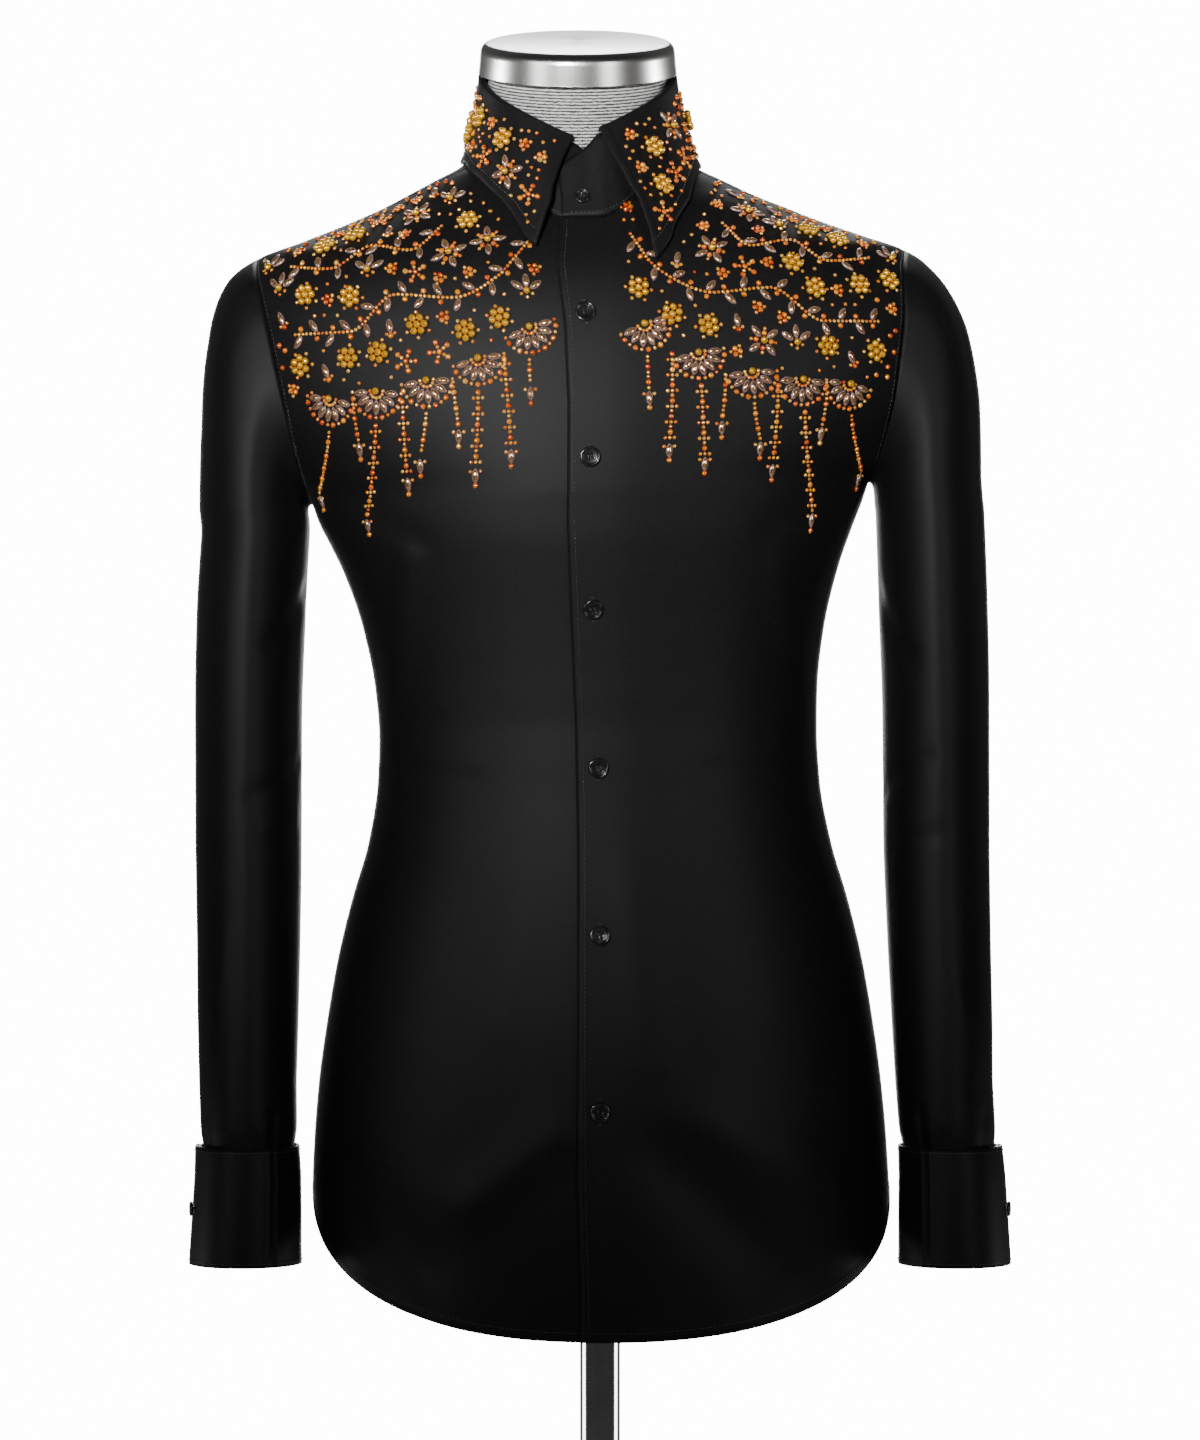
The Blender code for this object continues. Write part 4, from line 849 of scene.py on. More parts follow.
def standGrid():
    # from under the wearer's left end, round the back, and on over its own start
    k = np.linspace(0.0, collar["standSteps"], collar["standColumns"] + 1)
    turn = neckDegrees * (1 - k)
    psi = np.radians((turn + 180.0) % 360.0 - 180.0)
    raised = (neck["standWall"] + garment["layerGap"]) * softStep((-turn - 300.0) / 40.0)
    theta, z = neckline(psi)
    low = bodyPoint(theta, z) + np.array([0.0, 0.0, 0.0003])
    full = foldHeight(psi) - 0.0026
    front = neck["foldFront"]
    ends = np.where(k < 1, front + (full - front) * np.clip(k, 0, 1), full)
    ends = np.where(k > 32, front + (full - front) * np.clip(33 - k, 0, 1), ends)
    share = np.interp(k, [0, 1, 32, 33, 33.7, 34], [0.64, 1.0, 1.0, 0.84, 0.72, 0.62])
    high = low + (roundNeck(psi, ends) - low) * share[:, None]
    low[:, 2] += raised * neck["standRise"]
    v = np.linspace(0.0, 1.0, collar["standRows"] + 1)[:, None, None]
    grid = low * (1 - v) + high * v
    normals = outward(grid)
    out = unit(normals[len(normals) // 2] * np.array([1.0, 1.0, 0.0]))
    return grid + out * raised[None, :, None], normals


def leafSheet(table, side, along, v):
    # straight lines from the fold to the edge, bowed out at the points and hollowed at the sides
    psi = np.radians(through(table, 1, along)) * side
    theta = np.radians(through(table, 2, along)) * side
    edgeZ = through(table, 3, along)
    fold = roundNeck(psi, foldHeight(psi), garment["wall"] + garment["layerGap"] + neck["standWall"])
    clear = garment["wall"] + neck["leafClear"] * (1 + np.cos(psi) ** 2)
    edge = bodyPoint(theta, edgeZ) + bodyNormal(theta, edgeZ) * clear[..., None]
    bulge = neck["leafBow"] * np.cos(psi) ** 2 - neck["leafHollow"] * np.sin(psi) ** 2
    out = np.stack([np.sin(psi) + side * (1 - along) ** 6, -np.cos(psi), 0.4 + 0 * psi], axis=-1)
    v = np.asarray(v, float)
    return fold * (1 - v[..., None]) + edge * v[..., None] + out * (4 * v * (1 - v) * bulge)[..., None]


def leafRoll(table, side, along):
    # a half ellipse from the stand's inner face over its top to the leaf
    psi = np.radians(through(table, 1, along)) * side
    turn = np.linspace(math.pi, 0.0, collar["rollRows"] + 1)[:-1, None]
    outer = garment["wall"] + garment["layerGap"] + neck["standWall"]
    inner = -neck["standWall"]
    out = (outer + inner) / 2 + (outer - inner) / 2 * np.cos(turn)
    level = foldHeight(psi)[None, :]
    drop = np.where(np.arange(collar["rollRows"]) == 0, collar["rollHeight"], 0.0)[:, None]
    roll = roundNeck(psi[None, :] + 0 * turn, level + 0 * turn, out)
    roll[..., 2] = level + collar["rollHeight"] * np.sin(turn) - drop
    return roll


def leafGrid():
    # the wearer's right half and the left half meet at the middle of the back
    along = np.linspace(0.0, 1.0, collar["leafColumns"] + 1)
    v = np.linspace(0.0, 1.0, collar["leafRows"] + 1)[:, None] ** 0.9
    halves = []
    for table, side in ((leafRight, -1), (leafLeft, 1)):
        sheet = leafSheet(table, side, along[None, :] + 0 * v, v + 0 * along[None, :])
        halves.append(np.concatenate([leafRoll(table, side, along), sheet]))
    right, left = halves
    return np.concatenate([right, left[:, ::-1][:, 1:]], axis=1)[::-1]


points, normals = standGrid()
stand = clothShell("collarStand", "collar_stand", points, normals, neck["standWall"])
leafPoints = leafGrid()
leafNormals = outward(leafPoints)
ends = (leafPoints[:, :1], leafPoints[:, -1:], leafPoints[:1])
near = np.min([np.linalg.norm(leafPoints - end, axis=-1) for end in ends], axis=0)
rise = collar["edgeRise"] * softStep(near / 0.0007) * (1 - softStep((near - collar["edgeBand"]) / 0.0007))
leaf = clothShell("collarLeaf", "collar_leaf", leafPoints, leafNormals, rise=rise)
print("collar ready")

# Buttons: one turned height field each, with four holes sunk as pits and two bars of thread.

button = {"radius": 0.0065, "thick": 0.0024, "smallRadius": 0.0048, "rings": 26, "segments": 56,
          "holeRadius": 0.00078, "holeAt": 0.00125, "holeDepth": 0.0012,
          "heights": (0.6575, 0.5667, 0.4716, 0.3716, 0.2662, 0.1558), "collarHeight": 0.7320,
          "cuffAngle": 75.0, "cuffHeight": 0.089, "frontClear": 0.0003, "collarClear": 0.0006,
          "cuffClear": 0.00045, "barRings": 9, "barSides": 6}


def frameAt(out):
    # columns: sideways, upwards and outwards at a point of the cloth
    out = unit(np.asarray(out, float))
    side = unit(np.cross(np.broadcast_to(np.array([0.0, 0.0, 1.0]), out.shape), out))
    return np.stack([side, np.cross(out, side), out], axis=-1)


def turnedFaces(rings, segments):
    # quads between one closed ring of points and the next
    k = np.arange(segments)
    j = (k + 1) % segments
    base = (np.arange(rings - 1) * segments)[:, None]
    return np.stack([base + k, base + j, base + segments + j, base + segments + k], axis=-1).reshape(-1, 4)


def lathed(profile, sides):
    # a profile of (radius, height) turned about its axis: x = radius * cos, y = radius * sin
    profile, angle = np.array(profile), fullTurn(sides)
    x, y = profile[:, :1] * np.cos(angle), profile[:, :1] * np.sin(angle)
    return np.stack([x, y, profile[:, 1:] + 0 * angle], axis=-1)


def buttonShape(radius):
    # from the middle of the back round the rim to the middle of the front; holes are pits in the front
    scale = radius / button["radius"]
    thick = button["thick"] * scale
    back = [(0.02, 0.0), (0.80, 0.0), (0.93, 0.10), (0.99, 0.32), (1.0, 0.50), (0.98, 0.72), (0.94, 0.90),
            (0.88, 1.0), (0.81, 0.97), (0.75, 0.86), (0.70, 0.74)]
    dish = [(0.68 - 0.66 * t, 0.70 - 0.08 * t) for t in np.linspace(0.0, 1.0, button["rings"])]
    grid = lathed(np.array(back + dish) * np.array([radius, thick]), button["segments"])
    x, y = grid[..., 0], grid[..., 1]
    pit = np.zeros_like(x)
    for sx, sy in ((-1, -1), (-1, 1), (1, -1), (1, 1)):
        away = np.hypot(x - sx * button["holeAt"] * scale, y - sy * button["holeAt"] * scale)
        pit = np.maximum(pit, 1 - softStep((away - button["holeRadius"] * scale * 0.8) / 0.0003))
    front = np.arange(len(grid)) >= len(back)
    grid[..., 2] -= pit * front[:, None] * button["holeDepth"] * scale
    return grid.reshape(-1, 3), turnedFaces(len(grid), button["segments"])


def threadBars(radius):
    # two bars of thread between the holes, each a bent tube
    scale = radius / button["radius"]
    rings, sides = button["barRings"], button["barSides"]
    t = np.linspace(-1.0, 1.0, rings)[:, None]
    around = fullTurn(sides)
    vertices, faces = [], []
    for n, sx in enumerate((-1, 1)):
        rise = button["thick"] * scale * (0.50 + 0.34 * (1 - t ** 4))
        x = sx * button["holeAt"] * scale + 0.00032 * np.cos(around) + 0 * t
        y = t * button["holeAt"] * scale * 1.12 + 0 * around
        z = rise + 0.00026 * np.sin(around)
        vertices.append(np.stack([x, y, z], axis=-1).reshape(-1, 3))
        faces.append(turnedFaces(rings, sides) + n * rings * sides)
    return np.concatenate(vertices), np.concatenate(faces)


def makeButton(name, node, point, out, radius, turn=0.0):
    # the shape and its thread, turned by an angle and laid on the cloth at a point
    shape, faces = buttonShape(radius)
    bars, barFaces = threadBars(radius)
    spin = np.array([[math.cos(turn), -math.sin(turn), 0], [math.sin(turn), math.cos(turn), 0], [0, 0, 1]])
    local = np.concatenate([shape, bars]) @ spin.T
    vertices = local @ frameAt(out).T + point
    looks = np.concatenate([np.zeros(len(faces)), np.ones(len(barFaces))])
    newMesh(name, vertices, np.concatenate([faces, barFaces + len(shape)]), [resin, thread],
            [node], faceLooks=looks)


for number, z in enumerate(button["heights"], 1):
    out = bodyNormal(0.0, z)
    lift = garment["wall"] + garment["layerGap"] + button["frontClear"]
    point = warp(bodyPoint(0.0, z)[None])[0] + out * lift
    turn = 0.3 * math.sin(7.0 * number)
    makeButton(f"frontButton{number}", f"button_front_{number}", point, out, button["radius"], turn)
low = bodyPoint(*neckline(np.array(0.0)))
high = roundNeck(np.array(0.0), np.array(neck["foldFront"]))
out = unit(np.cross(np.array([1.0, 0.0, 0.0]), high - low))
point = low + (high - low) * (button["collarHeight"] - low[2]) / (high[2] - low[2])
point = warp(point[None])[0] + out * (neck["standWall"] + garment["layerGap"] + button["collarClear"])
makeButton("collarButton", "button_collar", point, out, button["smallRadius"], 0.15)
angle = math.radians(button["cuffAngle"])
centre, half, depth, middle = through(cuffTable, (1, 2, 3, 4), button["cuffHeight"])
lift = cuff["wall"] + garment["layerGap"]
spot = np.array([centre + (half + lift) * math.sin(angle), middle - (depth + lift) * math.cos(angle),
                 button["cuffHeight"]])
for side, word in ((1, "Left"), (-1, "Right")):
    node = f"button_cuff_{word.lower()}"
    out = unit(np.array([side * math.sin(angle) / half, -math.cos(angle) / depth, 0.0]))
    point = warp((spot * np.array([side, 1.0, 1.0]))[None], True)[0] + out * button["cuffClear"]
    makeButton(f"cuffButton{word}", node, point, out, button["smallRadius"], 0.4 * side)
print("buttons ready")

# Sewing: rows of short stitches along the seams and edges, and worked buttonholes.

seam = {"stitch": (0.0027, 0.0021, 0.00026), "bar": (0.00055, 0.0013, 0.00020),   # pitch, length, radius
        "inside": 0.0024, "closureInside": 0.0048, "holeHalf": 0.0078, "holeWide": 0.0008}
sewn = {"vertices": [], "faces": [], "count": 0}


def sew(points, normals, sleeve=False, bars=False):
    # threads laid end to end along a line, or as short bars across it; each arches up from the cloth
    def read(values, at):
        return np.stack([np.interp(at, run, values[:, k]) for k in range(3)], axis=-1)
    run = runAlong(points)
    pitch, length, radius = seam["bar"] if bars else seam["stitch"]
    at = np.arange(pitch / 2, run[-1], pitch)
    middle = read(points, at)
    out = unit(read(normals, at))
    ahead = read(points, at + 0.0003) - middle + 1e-9 * np.roll(out, 1, axis=-1)
    across = unit(np.cross(out, ahead))
    ahead = np.cross(across, out)
    if bars:
        ahead, across = across, ahead
    t = np.array([-1.0, -0.5, 0.5, 1.0])[:, None]
    turn = 2 * math.pi * (np.arange(4) + 0.5) / 4
    thick = radius * (1.1 - 0.6 * t ** 4)
    along, sideways = length / 2 * t + 0 * turn, thick * np.cos(turn)
    up = radius * (1 - 1.7 * t ** 2) + thick * np.sin(turn)
    local = np.stack([along, sideways, up], axis=-1).reshape(1, -1, 3)
    size = local.shape[1]
    vertices = (middle[:, None] + local[..., :1] * ahead[:, None] + local[..., 1:2] * across[:, None]
                + local[..., 2:] * out[:, None])
    faces = turnedFaces(4, 4)[None] + (np.arange(len(at)) * size)[:, None, None]
    sewn["vertices"].append(warp(vertices.reshape(-1, 3), sleeve))
    sewn["faces"].append(faces.reshape(-1, 4) + sewn["count"])
    sewn["count"] += len(at) * size


def frontFace(side, theta, z):
    # a point of a front's outer face, and the cloth's normal there
    point, out = bodyFace(theta, z)
    return point + out * layerLift(side, point[..., 0])[..., None], out


def sewBody():
    # closure edge, hems, armholes, shoulder seams and the yoke's back seam
    z = np.linspace(garment["frontHem"] + 0.008, neckLow - 0.002, 400)
    theta = thetaOfX(-garment["overlapHalf"] + seam["closureInside"], z)
    sew(*frontFace(1, theta, z))
    band = garment["rollBand"] - 0.0002
    for side in (-1, 1):
        start = -garment["overlapHalf"] if side > 0 else garment["overlapHalf"] + 0.002
        low = float(thetaOfX(abs(start), garment["hemZoneTop"])) * (-1 if side > 0 else 1)
        theta = np.linspace(low, math.pi / 2 - 0.01, 300)
        sew(*frontFace(side, theta * side, hemLine(theta, garment["frontHem"]) + band))
        z = np.linspace(garment["underarm"] + 0.004, garment["shoulderPoint"] - 0.003, 160)
        theta = outerTheta(z) - seam["inside"] / 0.14
        sew(*frontFace(side, theta * side, z))
        z = np.linspace(garment["shoulderPoint"] - 0.001, seamEndZ - 0.004, 200)
        theta = outerTheta(z) + 2 * seam["inside"] / 0.11
        sew(*bodyFace(theta * side, z))
    theta = np.linspace(math.pi / 2 + 0.01, 3 * math.pi / 2 - 0.01, 400)
    sew(*bodyFace(theta, hemLine(theta, garment["backHem"]) + band))
    edge = math.pi - float(outerTheta(garment["yokeSeam"]))
    theta = np.linspace(edge + 0.02, 2 * math.pi - edge - 0.02, 300)
    sew(*bodyFace(theta, garment["yokeSeam"] + seam["inside"] + 0 * theta))


def sewAlong(grid, normals, row=None, column=None, trim=2, **more):
    # a row or a column of a grid, short of its ends
    take = (row, slice(trim, -trim)) if row is not None else (slice(trim, -trim), column)
    sew(grid[take], normals[take], **more)


def buttonhole(point, out):
    # a long thin upright oval of bars round a slit
    axes = frameAt(out)
    turn = np.linspace(0.0, 2 * math.pi, 120)
    long = seam["holeHalf"] * np.cos(turn)
    short = seam["holeWide"] * np.sign(np.sin(turn)) * np.abs(np.sin(turn)) ** 0.4
    line = point + long[:, None] * axes[:, 1] + short[:, None] * axes[:, 0]
    sew(line, np.repeat(out[None], len(line), axis=0), bars=True)


sewBody()
for z in button["heights"]:
    buttonhole(*frontFace(1, np.array(0.0), np.array(z)))
for side in (1, -1):
    grid = cuffGrid(side)
    normals = outward(grid)
    for row in (1, -2):
        sewAlong(grid, normals, row=row, trim=5, sleeve=True)
    sewAlong(grid, normals, column=-5 if side > 0 else 4, sleeve=True)
    grid, normals = placketGrid(side)
    for column in (1, -2):
        sewAlong(grid, normals, column=column, trim=1, sleeve=True)
grid, normals = standGrid()
sewAlong(grid, normals, row=1, trim=3)
sewAlong(leafPoints, leafNormals, row=4)
print("sewing laid")

# The dress form, its cap and its stand.

# Neck rings: height, centre's depth, half width, half depth, forward tilt in degrees
neckTable = np.array([
    (0.7565, -0.0060, 0.0700, 0.0635, 6.0), (0.7670, -0.0072, 0.0630, 0.0612, 10.0),
    (0.7810, -0.0100, 0.0590, 0.0590, 13.0), (0.7990, -0.0138, 0.0575, 0.0575, 14.0),
    (0.8165, -0.0182, 0.0575, 0.0575, 14.0),
])
# How much smaller the form is than the shirt: height, ease
easeTable = np.array([(0.100, 0.0060), (0.500, 0.0050), (0.600, 0.0028), (0.680, 0.0020), (0.760, 0.0018)])
form = {"columns": 96, "drop": 0.0018, "low": 0.105, "edgeRadius": 0.012, "top": 0.739, "rows": 90,
        "inside": 0.0012, "edgeRows": 8, "edgeDraw": 0.09,
        "neckLow": 0.7565, "neckHigh": 0.8165, "neckRows": 26,
        "capRadius": 0.0638, "capTilt": math.radians(14.0), "capCentre": (0.0, -0.0182, 0.8168),
        "capHeight": 0.0205, "baseRadius": 0.150, "baseThick": 0.008, "postRadius": 0.013,
        "flangeRadius": 0.055, "flangeThick": 0.005, "fit": 0.0003, "segments": 96}


def formGrid():
    # the shirt's sections drawn in by the ease, a rounded lower edge and tilted neck rings; the first column
    # lies at the back, where the knit's UV starts over
    theta = (math.pi + fullTurn(form["columns"]))[None, :]
    z = np.linspace(form["low"] + form["edgeRadius"], form["top"], form["rows"])[:, None]
    at = z + form["drop"]
    slack = through(easeTable, 1, z) + form["inside"]
    half, front, rear, middle, square = through(bodyTable, (1, 2, 3, 4, 5), at)
    half = np.minimum(half, through(armholeTable, 1, at)) - slack
    x, y = squarish(theta, half, front + slack, rear - slack, middle, square)
    torso = np.stack([x, y, z + 0 * x], axis=-1)
    turn = np.linspace(0.15, math.pi / 2, form["edgeRows"])[:, None, None]
    shrink = 1 - (1 - np.sin(turn)) * form["edgeDraw"]
    edge = torso[:1] * np.array([1.0, 1.0, 0.0]) * shrink
    edge[..., 2] = form["low"] + form["edgeRadius"] * (1 - np.cos(turn[..., 0]))
    nz = np.linspace(form["neckLow"], form["neckHigh"], form["neckRows"])[:, None]
    centre, half, depth, tilt = through(neckTable, (1, 2, 3, 4), nz)
    lean, run = np.radians(tilt), -depth * np.cos(theta)
    top = np.stack([half * np.sin(theta), centre + run * np.cos(lean), nz + run * np.sin(lean)], axis=-1)
    return np.concatenate([edge, torso, top])


def capped(grid):
    # a closed tube: the grid's quads and a fan of thin quads to the middle of each end
    rings, columns = grid.shape[:2]
    quads = turnedFaces(rings, columns)
    low, high = grid[0].mean(axis=0), grid[-1].mean(axis=0)
    lowRing, highRing = low + (grid[0] - low) * 0.02, high + (grid[-1] - high) * 0.02
    vertices = np.concatenate([grid.reshape(-1, 3), lowRing, highRing])
    k = np.arange(columns)
    j = (k + 1) % columns
    last, inLow, inHigh = (rings - 1) * columns, rings * columns, (rings + 1) * columns
    lowFan = np.stack([inLow + k, inLow + j, j, k], axis=-1)
    highFan = np.stack([last + k, last + j, inHigh + j, inHigh + k], axis=-1)
    return vertices, np.concatenate([quads, lowFan, highFan])


vertices, faces = capped(formGrid())
around = np.tile(np.arange(form["columns"]) / form["columns"], len(vertices) // form["columns"])
neckRound = 2 * math.pi * neckTable[-1, 2]
uv = np.stack([around * neckRound, vertices[:, 2] - vertices[:, 1] * math.sin(form["capTilt"])], axis=-1)
newMesh("formTorso", warp(vertices), faces, jersey, ["form_torso"], uv)


def turnedPiece(name, profile, look, node, place=None):
    # a profile of (radius, height), from its lower to its upper end, turned about its axis
    grid = lathed(profile, form["segments"])
    if place is not None:
        grid = place(grid)
    vertices, faces = capped(grid)
    made = newMesh(name, vertices, faces, look, [node])
    made.data.set_sharp_from_angle(angle=math.radians(38.0))


def capPlace(grid):
    # the cap's axis leans forward with the neck
    tilt = form["capTilt"]
    out = np.array([0.0, -math.sin(tilt), math.cos(tilt)])
    across = np.array([1.0, 0.0, 0.0])
    back = np.cross(out, across)
    centre = warp(np.array([form["capCentre"]]))[0]
    return centre + grid[..., :1] * across + grid[..., 1:2] * back + grid[..., 2:] * out


def rounded(radius, low, high, bend, steps=5):
    # a disc's profile with both rims rounded by a quarter circle
    t = np.linspace(0.0, math.pi / 2, steps + 1)
    lower = [(radius - bend + bend * math.sin(a), low + bend * (1 - math.cos(a))) for a in t]
    upper = [(radius - bend + bend * math.cos(a), high - bend + bend * math.sin(a)) for a in t]
    return [(radius * 0.05, low)] + lower + upper + [(radius * 0.05, high)]


# The cap's profile as steps in from its radius and heights
capSteps = ((0.0006, 0.0), (0.0, 0.0006), (0.0002, 0.0020), (0.0012, 0.0135), (0.0016, 0.0160),
            (0.0024, 0.0178), (0.0036, 0.0191), (0.0050, 0.0200), (0.0070, form["capHeight"]))
capProfile = [(0.004, 0.0)] + [(form["capRadius"] - inset, height) for inset, height in capSteps]
capProfile += [(0.004, form["capHeight"])]
turnedPiece("formCap", capProfile, brushed, "form_cap", capPlace)
flangeTop = garment["hemHeight"] + form["low"] - form["fit"]
flangeLow = garment["hemHeight"] + form["low"] - form["fit"] - form["flangeThick"]
postTop = garment["hemHeight"] + form["low"] - form["fit"] * 2 - form["flangeThick"]
for name, radius, low, high, bend, node in (
        ("formFlange", form["flangeRadius"], flangeLow, flangeTop, 0.0012, "form_flange"),
        ("standPost", form["postRadius"], form["baseThick"] + form["fit"], postTop, 0.0008, "stand_post"),
        ("standBase", form["baseRadius"], 0.0, form["baseThick"], 0.0022, "stand_base")):
    turnedPiece(name, rounded(radius, low, high, bend), chrome, node)
print("form and stand ready")

# Beadwork: shell fans, pendants, sprigs and clusters, laid by rule and mirrored.

bead = {
    "radii": (0.00238, 0.00188, 0.00124, 0.00235),      # pearl, stone, small stone, marquise's half width
    "marquise": (0.0094, 0.0047),
    "fans": (0.036, 0.069, 0.102, 0.134, 0.164),        # where the fans hang, across the chest
    "fanDrop": ((0.0, 0.672), (0.06, 0.634), (0.11, 0.615), (0.20, 0.606)),   # the border's height there
    "pendants": (0.020, 0.046, 0.028, 0.062, 0.036),    # length below each fan
    "between": (0.058, 0.030, 0.048, 0.022),            # length of the strands between the fans
    "vines": (((0.030, 0.052, 0.082, 0.118, 0.150, 0.186), (0.708, 0.682, 0.669, 0.672, 0.650, 0.650), 4),
              ((0.088, 0.108, 0.132, 0.158, 0.186), (0.716, 0.700, 0.704, 0.690, 0.693), 5)),
    "fanRoom": 0.0080, "vineRoom": 0.0062, "clear": 0.0012, "tries": 5000, "singles": 0.0046,
    "plainStrip": 0.0032, "plainMiddle": 0.022, "plainSeam": 0.004,
    "chest": (("quatrefoil", 3), ("hex", 11), ("palmette", 5), ("star", 8), ("bud", 5), ("trefoil", 14)),
    "collar": (("quatrefoil", 1), ("hex", 8), ("star", 5), ("trefoil", 9), ("bud", 3)),
}


def chestPlace(side):
    # the front's outer face; the first parameter counts away from the middle on either side
    def place(p):
        return frontFace(side, p[..., 0] * side, p[..., 1])[0]
    return place


def leafPlace(table, side):
    # the leaf's surface; beyond its ends it runs on straight, so that a bead there still finds its way back
    def place(p):
        inside = np.clip(p[..., 0], 0.01, 0.99)
        after, before = [leafSheet(table, side, inside + step, p[..., 1]) for step in (0.005, -0.005)]
        run = (after - before) / 0.01
        return leafSheet(table, side, inside, p[..., 1]) + run * (p[..., 0] - inside)[..., None]
    return place


def tangents(place, p):
    # the surface's change along each parameter, from small steps to both sides
    step = 1e-4
    du = (place(p + np.array([step, 0.0])) - place(p - np.array([step, 0.0]))) / (2 * step)
    dv = (place(p + np.array([0.0, step])) - place(p - np.array([0.0, step]))) / (2 * step)
    return du, dv


def onCloth(place, p):
    # point and axes at parameters p: sideways towards +X, up along the cloth, and outwards
    here = place(p)
    du, dv = tangents(place, p)
    out = unit(np.cross(du, dv))
    away = here * np.array([1.0, 1.0, 0.0]) + np.array([0.0, 0.0, 0.12])
    out = out * np.sign((out * away).sum(axis=-1, keepdims=True))
    return here, frameAt(out)


def settle(place, p, target):
    # five steps of the parameters bring the surface point under the target (a two by two solve each time)
    for _ in range(5):
        du, dv = tangents(place, p)
        off = target - place(p)
        a, b, c = (du * du).sum(-1), (du * dv).sum(-1), (dv * dv).sum(-1)
        e, f = (du * off).sum(-1), (dv * off).sum(-1)
        size = np.maximum(a * c - b * b, 1e-12)
        step = np.stack([c * e - b * f, a * f - b * e], axis=-1) / size[..., None]
        p = p + np.clip(step, -0.08, 0.08)
    return p


def arc(angles, radius, kinds, radial=False):
    # beads round a middle, of one kind or of several in turn, pointing outwards if radial
    kinds = np.resize(kinds, len(angles))
    return [(radius * math.cos(a), radius * math.sin(a), kind, a if radial else 0.0)
            for a, kind in zip(angles, kinds)]


def ring(count, radius, kind, first=0.0, radial=False):
    # beads evenly once round
    return arc(first + fullTurn(count), radius, kind, radial)


def pair(x, y):
    # a small stone to either side
    return [(-x, y, smallKind, 0.0), (x, y, smallKind, 0.0)]


pearlKind, stoneKind, smallKind, marquiseKind = 0, 1, 2, 3
# Motifs: (sideways mm, upwards mm, kind, turn of the bead)
hexCluster = [(0.0, 0.0, pearlKind, 0.0)] + ring(6, 4.8, pearlKind) + ring(6, 8.1, smallKind, math.pi / 6)
quatrefoil = ([(0.0, 0.0, pearlKind, 0.0)] + ring(4, 7.4, marquiseKind, math.pi / 4, True)
              + ring(4, 4.9, stoneKind) + ring(4, 8.0, smallKind))
star = ([(0.0, 0.0, stoneKind, 0.0)] + ring(5, 3.4, smallKind, math.pi / 2)
        + ring(5, 6.4, stoneKind, math.pi / 2))
trefoil = ring(3, 2.15, stoneKind, math.pi / 2) + ring(3, 3.9, smallKind, -math.pi / 2)
bud = [(0.0, 0.0, marquiseKind, math.pi / 2)] + pair(2.7, -4.6) + [(0.0, -6.0, stoneKind, 0.0)]
palmette = (arc(np.radians((35.0, 90.0, 145.0)), 7.1, marquiseKind, True) + [(0.0, 0.0, pearlKind, 0.0)]
            + pair(3.6, -1.6) + [(0.0, -3.9, smallKind, 0.0)])
shellFan = ([(0.0, 0.0, pearlKind, 0.0)] + arc(np.radians(np.linspace(-180, 0, 7)), 4.4, smallKind)
            + arc(np.radians(np.linspace(-172.0, -8.0, 7)), 10.4, marquiseKind, True)
            + arc(np.radians(np.linspace(-176.0, -4.0, 13)), 16.6, (smallKind, stoneKind)))
dropEnd = [(0.0, -4.9, marquiseKind, math.pi / 2)] + pair(3.3, -2.2) + [(0.0, -11.0, stoneKind, 0.0)]
# The room each takes in mm, and its beads
motifs = {"hex": (9.0, hexCluster), "quatrefoil": (11.6, quatrefoil), "star": (8.2, star),
          "trefoil": (5.2, trefoil), "bud": (6.8, bud), "palmette": (8.8, palmette)}

beadSpots = {"point": [], "axes": [], "kind": [], "turn": []}


def layMotif(place, p, motif, turn=0.0, scale=1.0):
    # each bead is set off from the middle along the cloth's own directions, then settled on the cloth
    here, axes = onCloth(place, np.asarray(p, float))
    table = np.array(motif, dtype=float)
    flatX = table[:, 0] * math.cos(turn) - table[:, 1] * math.sin(turn)
    flatY = table[:, 0] * math.sin(turn) + table[:, 1] * math.cos(turn)
    target = here + (flatX[:, None] * axes[:, 0] + flatY[:, None] * axes[:, 1]) * 0.001 * scale
    start = np.repeat(np.asarray(p, float)[None, :], len(table), axis=0)
    layBeads(place, settle(place, start, target), table[:, 2], table[:, 3] + turn)


def layBeads(place, p, kind, turn):
    # notes each bead's point, axes, kind and turn
    point, axes = onCloth(place, p)
    beadSpots["point"].append(point)
    beadSpots["axes"].append(axes)
    beadSpots["kind"].append(np.asarray(kind, int) + np.zeros(len(p), int))
    beadSpots["turn"].append(np.asarray(turn, float) + np.zeros(len(p)))


def layString(place, path, pattern, gap=0.0004):
    # beads one after another along a path of parameters, each touching the next but for the gap
    line = place(path)
    run = runAlong(line)
    spots, kinds, at, k = [], [], 0.0, 0
    while True:
        kind = pattern[k % len(pattern)]
        radius = bead["radii"][kind] if kind != marquiseKind else bead["marquise"][0] / 2
        if at + 2 * radius > run[-1]:
            break
        spots.append(at + radius)
        kinds.append(kind)
        at += 2 * radius + gap
        k += 1
    spots = np.array(spots)
    p = np.stack([np.interp(spots, run, path[:, 0]), np.interp(spots, run, path[:, 1])], axis=1)
    layBeads(place, p, kinds, math.pi / 2)
    return p


def chestPath(xs, zs):
    # a line on the chest as parameters, from distances across and heights
    xs, zs = np.asarray(xs, float), np.asarray(zs, float)
    return np.stack([thetaOfX(xs, zs), zs], axis=-1)


def borderHeight(x):
    # the beadwork's lower border, straight between its stations
    return np.interp(x, *np.array(bead["fanDrop"]).T)


